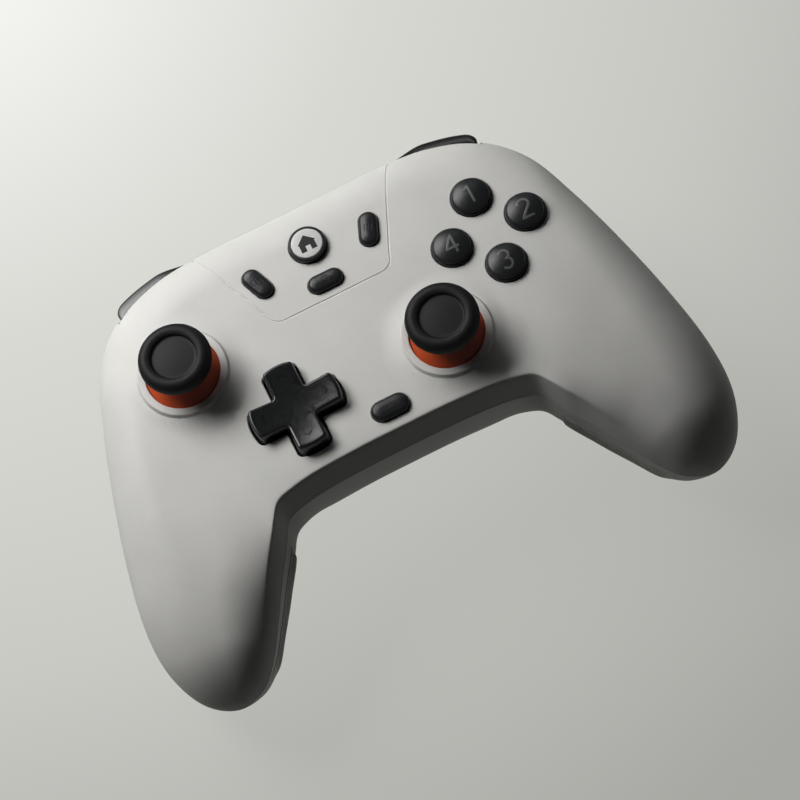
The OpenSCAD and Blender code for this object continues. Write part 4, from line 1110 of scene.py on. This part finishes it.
def pill_levels(name):
    def at(grow):
        return pill_at(name, grow)

    levels = [(at(-0.6), foot_z), (at(-0.6), flange_low), (at(flange_out), flange_low + 0.02)]
    levels += [(at(flange_out), flange_top), (at(0.0), flange_top + 0.02)]
    for i in range(9):
        a = math.radians(lerp(0, 90, i / 8))
        levels.append((at(-pill_round * (1 - math.cos(a))), pill_top - 0.12 - 1.1 * (1 - math.sin(a))))
    levels += [(at(-1.65), pill_top - 0.05), (at(-2.0), pill_top), (at(-2.25), pill_top + 0.01)]
    return levels


def square(x, y, size):
    h = size / 2
    return [(x - h, y - h), (x + h, y - h), (x + h, y + h), (x - h, y + h)]


dots = [(arc(s * 1.2, s * -0.5, 0.2, 0, 330, 11), True) for s in (-1, 1)]
engravings = {
    "view": [(square(-0.5, 0.35, 1.5), True), (square(0.5, -0.35, 1.5), True)],
    "menu": [([(s, -0.95), (s, 0.95)], False) for s in (-0.9, 0, 0.9)],
    "capture": [(arc(0, 0, 0.95, 0, 345, 23), True)],
    "mode": [([(-0.6, -0.9), (0.6, 0.9)], False)] + dots,
}
for name, (x, y, turn) in pill_places.items():
    button = stacked(name + "_pill", pill_levels(name))
    upright = turn - 90 if turn else 0
    skin = BVHTree.FromObject(button, bpy.context.evaluated_depsgraph_get())
    for line, closed in engravings[name]:
        line = filled(line + line[:1] * closed, 0.3)
        line = placed(line[:-1] if closed else line, x, y, upright)
        points = [(px, py, height_on(skin, px, py) + 0.03) for px, py in line]
        combine(button, tube("mark", points, 0.13, closed), "DIFFERENCE")
    smooth(button, 40)
    give(button, "button", name + "_button", name + "_button")
    print(button.name, "with", len(button.data.polygons), "faces")

# %% [markdown]
# The home button is a black ring round a pale disc, and the disc carries a plain little house.

# %% Home button
inlay_r, ring_top, seat_z = 4.05, 41.6, 40.95


def home_ring():
    seat_r = inlay_r + 0.06
    profile = flange(home_r) + [(home_r, ring_top - 0.5)]
    profile += [(home_r - 0.4 + 0.4 * x, ring_top - 0.5 + 0.5 * y) for x, y in arc(0, 0, 1, 10, 90, 8)]
    profile += [(seat_r + 0.1, ring_top), (seat_r, ring_top - 0.1), (seat_r, seat_z), (0, seat_z)]
    return smooth(turned("home_ring", profile, 96, (0, home_y)), 35)


def home_disc():
    r, top = inlay_r - 0.02, ring_top + 0.1
    profile = [(0, 41.0), (r, 41.0), (r, top - 0.12), (r - 0.08, top - 0.04), (r - 0.28, top)]
    profile += [(2.4, top + 0.02), (0, top + 0.03)]
    return smooth(turned("home_disc", profile, 96, (0, home_y)), 35)


house = [(-2.5, 0.1), (-2.1, 0.1), (-2.1, -2.2), (-0.65, -2.2), (-0.65, -0.7)]
house += [(0.65, -0.7), (0.65, -2.2), (2.1, -2.2), (2.1, 0.1), (2.5, 0.1), (0, 2.4)]
give(home_ring(), "button", "home_button", "home_button")
give(home_disc(), "inlay", "home_button", "home_inlay")
sign = prism("home_house", placed(house, 0, home_y, 0), 41.6, 41.755)
take(sign)
edge = sign.modifiers.new("edge", "BEVEL")
edge.width, edge.segments, edge.limit_method = 0.02 * MM, 1, "ANGLE"
bpy.ops.object.modifier_apply(modifier=edge.name)
give(sign, "button", "home_button")
print("home button with a sign of", len(sign.data.polygons), "faces")

# %% [markdown]
# A bumper is a bar that follows the case's top edge, proud of it in the middle and sunk at its ends. It is
# a loft through closed sections, whose outer end shrinks over a few sections so that it is round. A lug
# with a bore turns on a post of the bracket inside.

# %% Bumpers
bumper_top, bumper_h, bumper_proud, bumper_sink = 35.0, 8.0, 1.5, 0.3
bumper_pivot, bumper_rows, lug_r, bore_r = (30.21, 44.6), 72, 3, 1.46


def lofted(name, sections):
    """A solid through closed sections in mm, all with the same number of points."""
    rows, count = len(sections) - 1, len(sections[0])

    def at(f, g):
        return Vector(sections[round(f * rows)][round(g * count) % count])

    obj = lay_grid(name, rows, count, at)
    edit(obj)
    bpy.ops.mesh.remove_doubles(threshold=0.000001)
    bpy.ops.mesh.fill_holes(sides=0)
    leave_outwards()
    return obj


def rib_at(x):
    low, high = 0.0, 0.5
    for _ in range(40):
        middle = (low + high) / 2
        low, high = (middle, high) if line_at(outer_line, inner_line, middle).x < x else (low, middle)
    return low


def mirrored(points, side):
    return [(side * x, y, z) for x, y, z in points]


def bumper_section(i, side):
    """A section of a bumper: the top slopes outwards, and the outer end is round."""
    f = 1 - (1 - i / bumper_rows) ** 1.6
    u = lerp(rib_at(bay_in + 1.3), rib_at(bay_out - 0.6), f)
    inner, along, width = rib(round(u, 6))[:3]
    base = inner + along * width
    end = unit((f - 0.88) / 0.12)
    proud = (bumper_proud + bumper_sink) * ease(f, 0, 0.45) * math.sqrt(1 - end * end) - bumper_sink
    back = 0.5 - lerp(6, 3, f)
    outline = [(back, 0), (lerp(back, proud - 3.1, 0.9), 0), (proud - 2.6, -0.06), (proud - 2.0, -0.2)]
    outline += [(proud - 1.1 + x, -1.5 + z) for x, z in arc(0, 0, 1.1, 72, 0, 9)]
    outline += [(proud - 1.3 + x, 1.3 - bumper_h + z) for x, z in arc(0, 0, 1.3, 0, -90, 7)]
    outline.append((back, -bumper_h))
    return mirrored([((base + along * x).x, (base + along * x).y, bumper_top + z) for x, z in outline], side)


for name, side in (("left", -1), ("right", 1)):
    bar = lofted(name + "_bumper_bar", [bumper_section(i, side) for i in range(bumper_rows + 1)])
    spot = (side * bumper_pivot[0], bumper_pivot[1])
    lug = turned("lug", [(0, 27), (lug_r, 27), (lug_r, 35), (0, 35)], 64, spot)
    bore = turned("bore", [(0, 26), (bore_r, 26), (bore_r, 34), (0, 34)], 48, spot)
    combine(bar, lug, "UNION")
    combine(bar, bore, "DIFFERENCE")
    smooth(bar, 40)
    give(bar, "gloss", name + "_bumper", name + "_bumper")
    print(bar.name, "with", len(bar.data.polygons), "faces")

# %% [markdown]
# A trigger hangs below each bumper with a hollowed finger face. It is a loft too: one smooth list says how
# far the face stands out on the way down, another how thick the blade is. Two lugs on arms run on its pin.

# %% Triggers
trigger_top, trigger_h, trigger_t, trigger_rows = 26.3, 21.0, 3.4, 60
trigger_face = [(-1.2, 0), (0.2, 0.02), (0.9, 0.1), (0.7, 0.3), (0.3, 0.52)]
trigger_face += [(0.7, 0.72), (2, 0.88), (3.4, 0.97), (2.8, 1)]
trigger_share = [0.55, 0.9, 1, 0.95, 0.9, 0.85, 0.75, 0.55, 0.3]
trigger_lugs, trigger_pin = ((32.59, 36.22), (41.40, 44.77)), (42.6, 23.1)


def trigger_section(f, side):
    u = lerp(rib_at(bay_in + 1.7), rib_at(bay_out - 0.9), f)
    edge = line_at(outer_line, inner_line, u)
    end = math.sqrt(max(0.0, 1 - (1 - unit(min(f, 1 - f) / 0.05)) ** 2))
    front, back = [], []
    for i in range(33):
        s = i / 32
        out = smooth_at([q[0] for q in trigger_face], -2.4, 0.9, s) - 1.1 * (1 - end)
        z = trigger_top - trigger_h * smooth_at([q[1] for q in trigger_face], -0.01, 1.0, s)
        t = trigger_t * smooth_at(trigger_share, 0.3, 0.1, s) - 1.1 * (1 - end)
        front.append((edge.x, edge.y + out, z))
        back.append((edge.x, edge.y + out - t, z))
    return mirrored(front + back[::-1], side)


def rod_on_pin(name, r, x, steps, side):
    """A rod of radius r along the trigger's pin, from x[0] to x[1]."""
    rod = turned(name, [(0, x[0]), (r, x[0]), (r, x[1]), (0, x[1])], steps)
    for vertex in rod.data.vertices:
        out, along, up = vertex.co
        vertex.co = Vector((side * up, trigger_pin[0] * MM + along, trigger_pin[1] * MM + out))
    return face_outwards(rod)


for name, side in (("left", -1), ("right", 1)):
    sections = [trigger_section(i / trigger_rows, side) for i in range(trigger_rows + 1)]
    blade = lofted(name + "_trigger_blade", sections)
    for x in trigger_lugs:
        combine(blade, rod_on_pin("lug", 3, x, 48, side), "UNION")
        reach = line_at(outer_line, inner_line, rib_at(x[1])).y - 0.4
        arm_x, arm_z = sorted((side * x[0], side * x[1])), (trigger_pin[1] - 3, trigger_pin[1] + 2.4)
        combine(blade, box("arm", arm_x, (trigger_pin[0], reach), arm_z), "UNION")
    combine(blade, rod_on_pin("bore", 1.26, (25, 52), 40, side), "DIFFERENCE")
    smooth(blade, 40)
    give(blade, "gloss", name + "_trigger", name + "_trigger")
    print(blade.name, "with", len(blade.data.polygons), "faces")

# %% [markdown]
# What is left are the inner pieces, whose solids are already right: they only get a finish, from the slot
# that the frame names for them.

# %% Inner pieces
slot_of = {part["node"]: part["material_slot"] for part in frame["record"]["subparts"]}
inner = [name for name, node in nodes.items() if not node.hide_render]
for name in inner:
    nodes[name].data.materials.clear()
    nodes[name].data.materials.append(finishes[slot_of[name]])
print("carried over:", len(inner), "solids,", ", ".join(sorted(inner)))
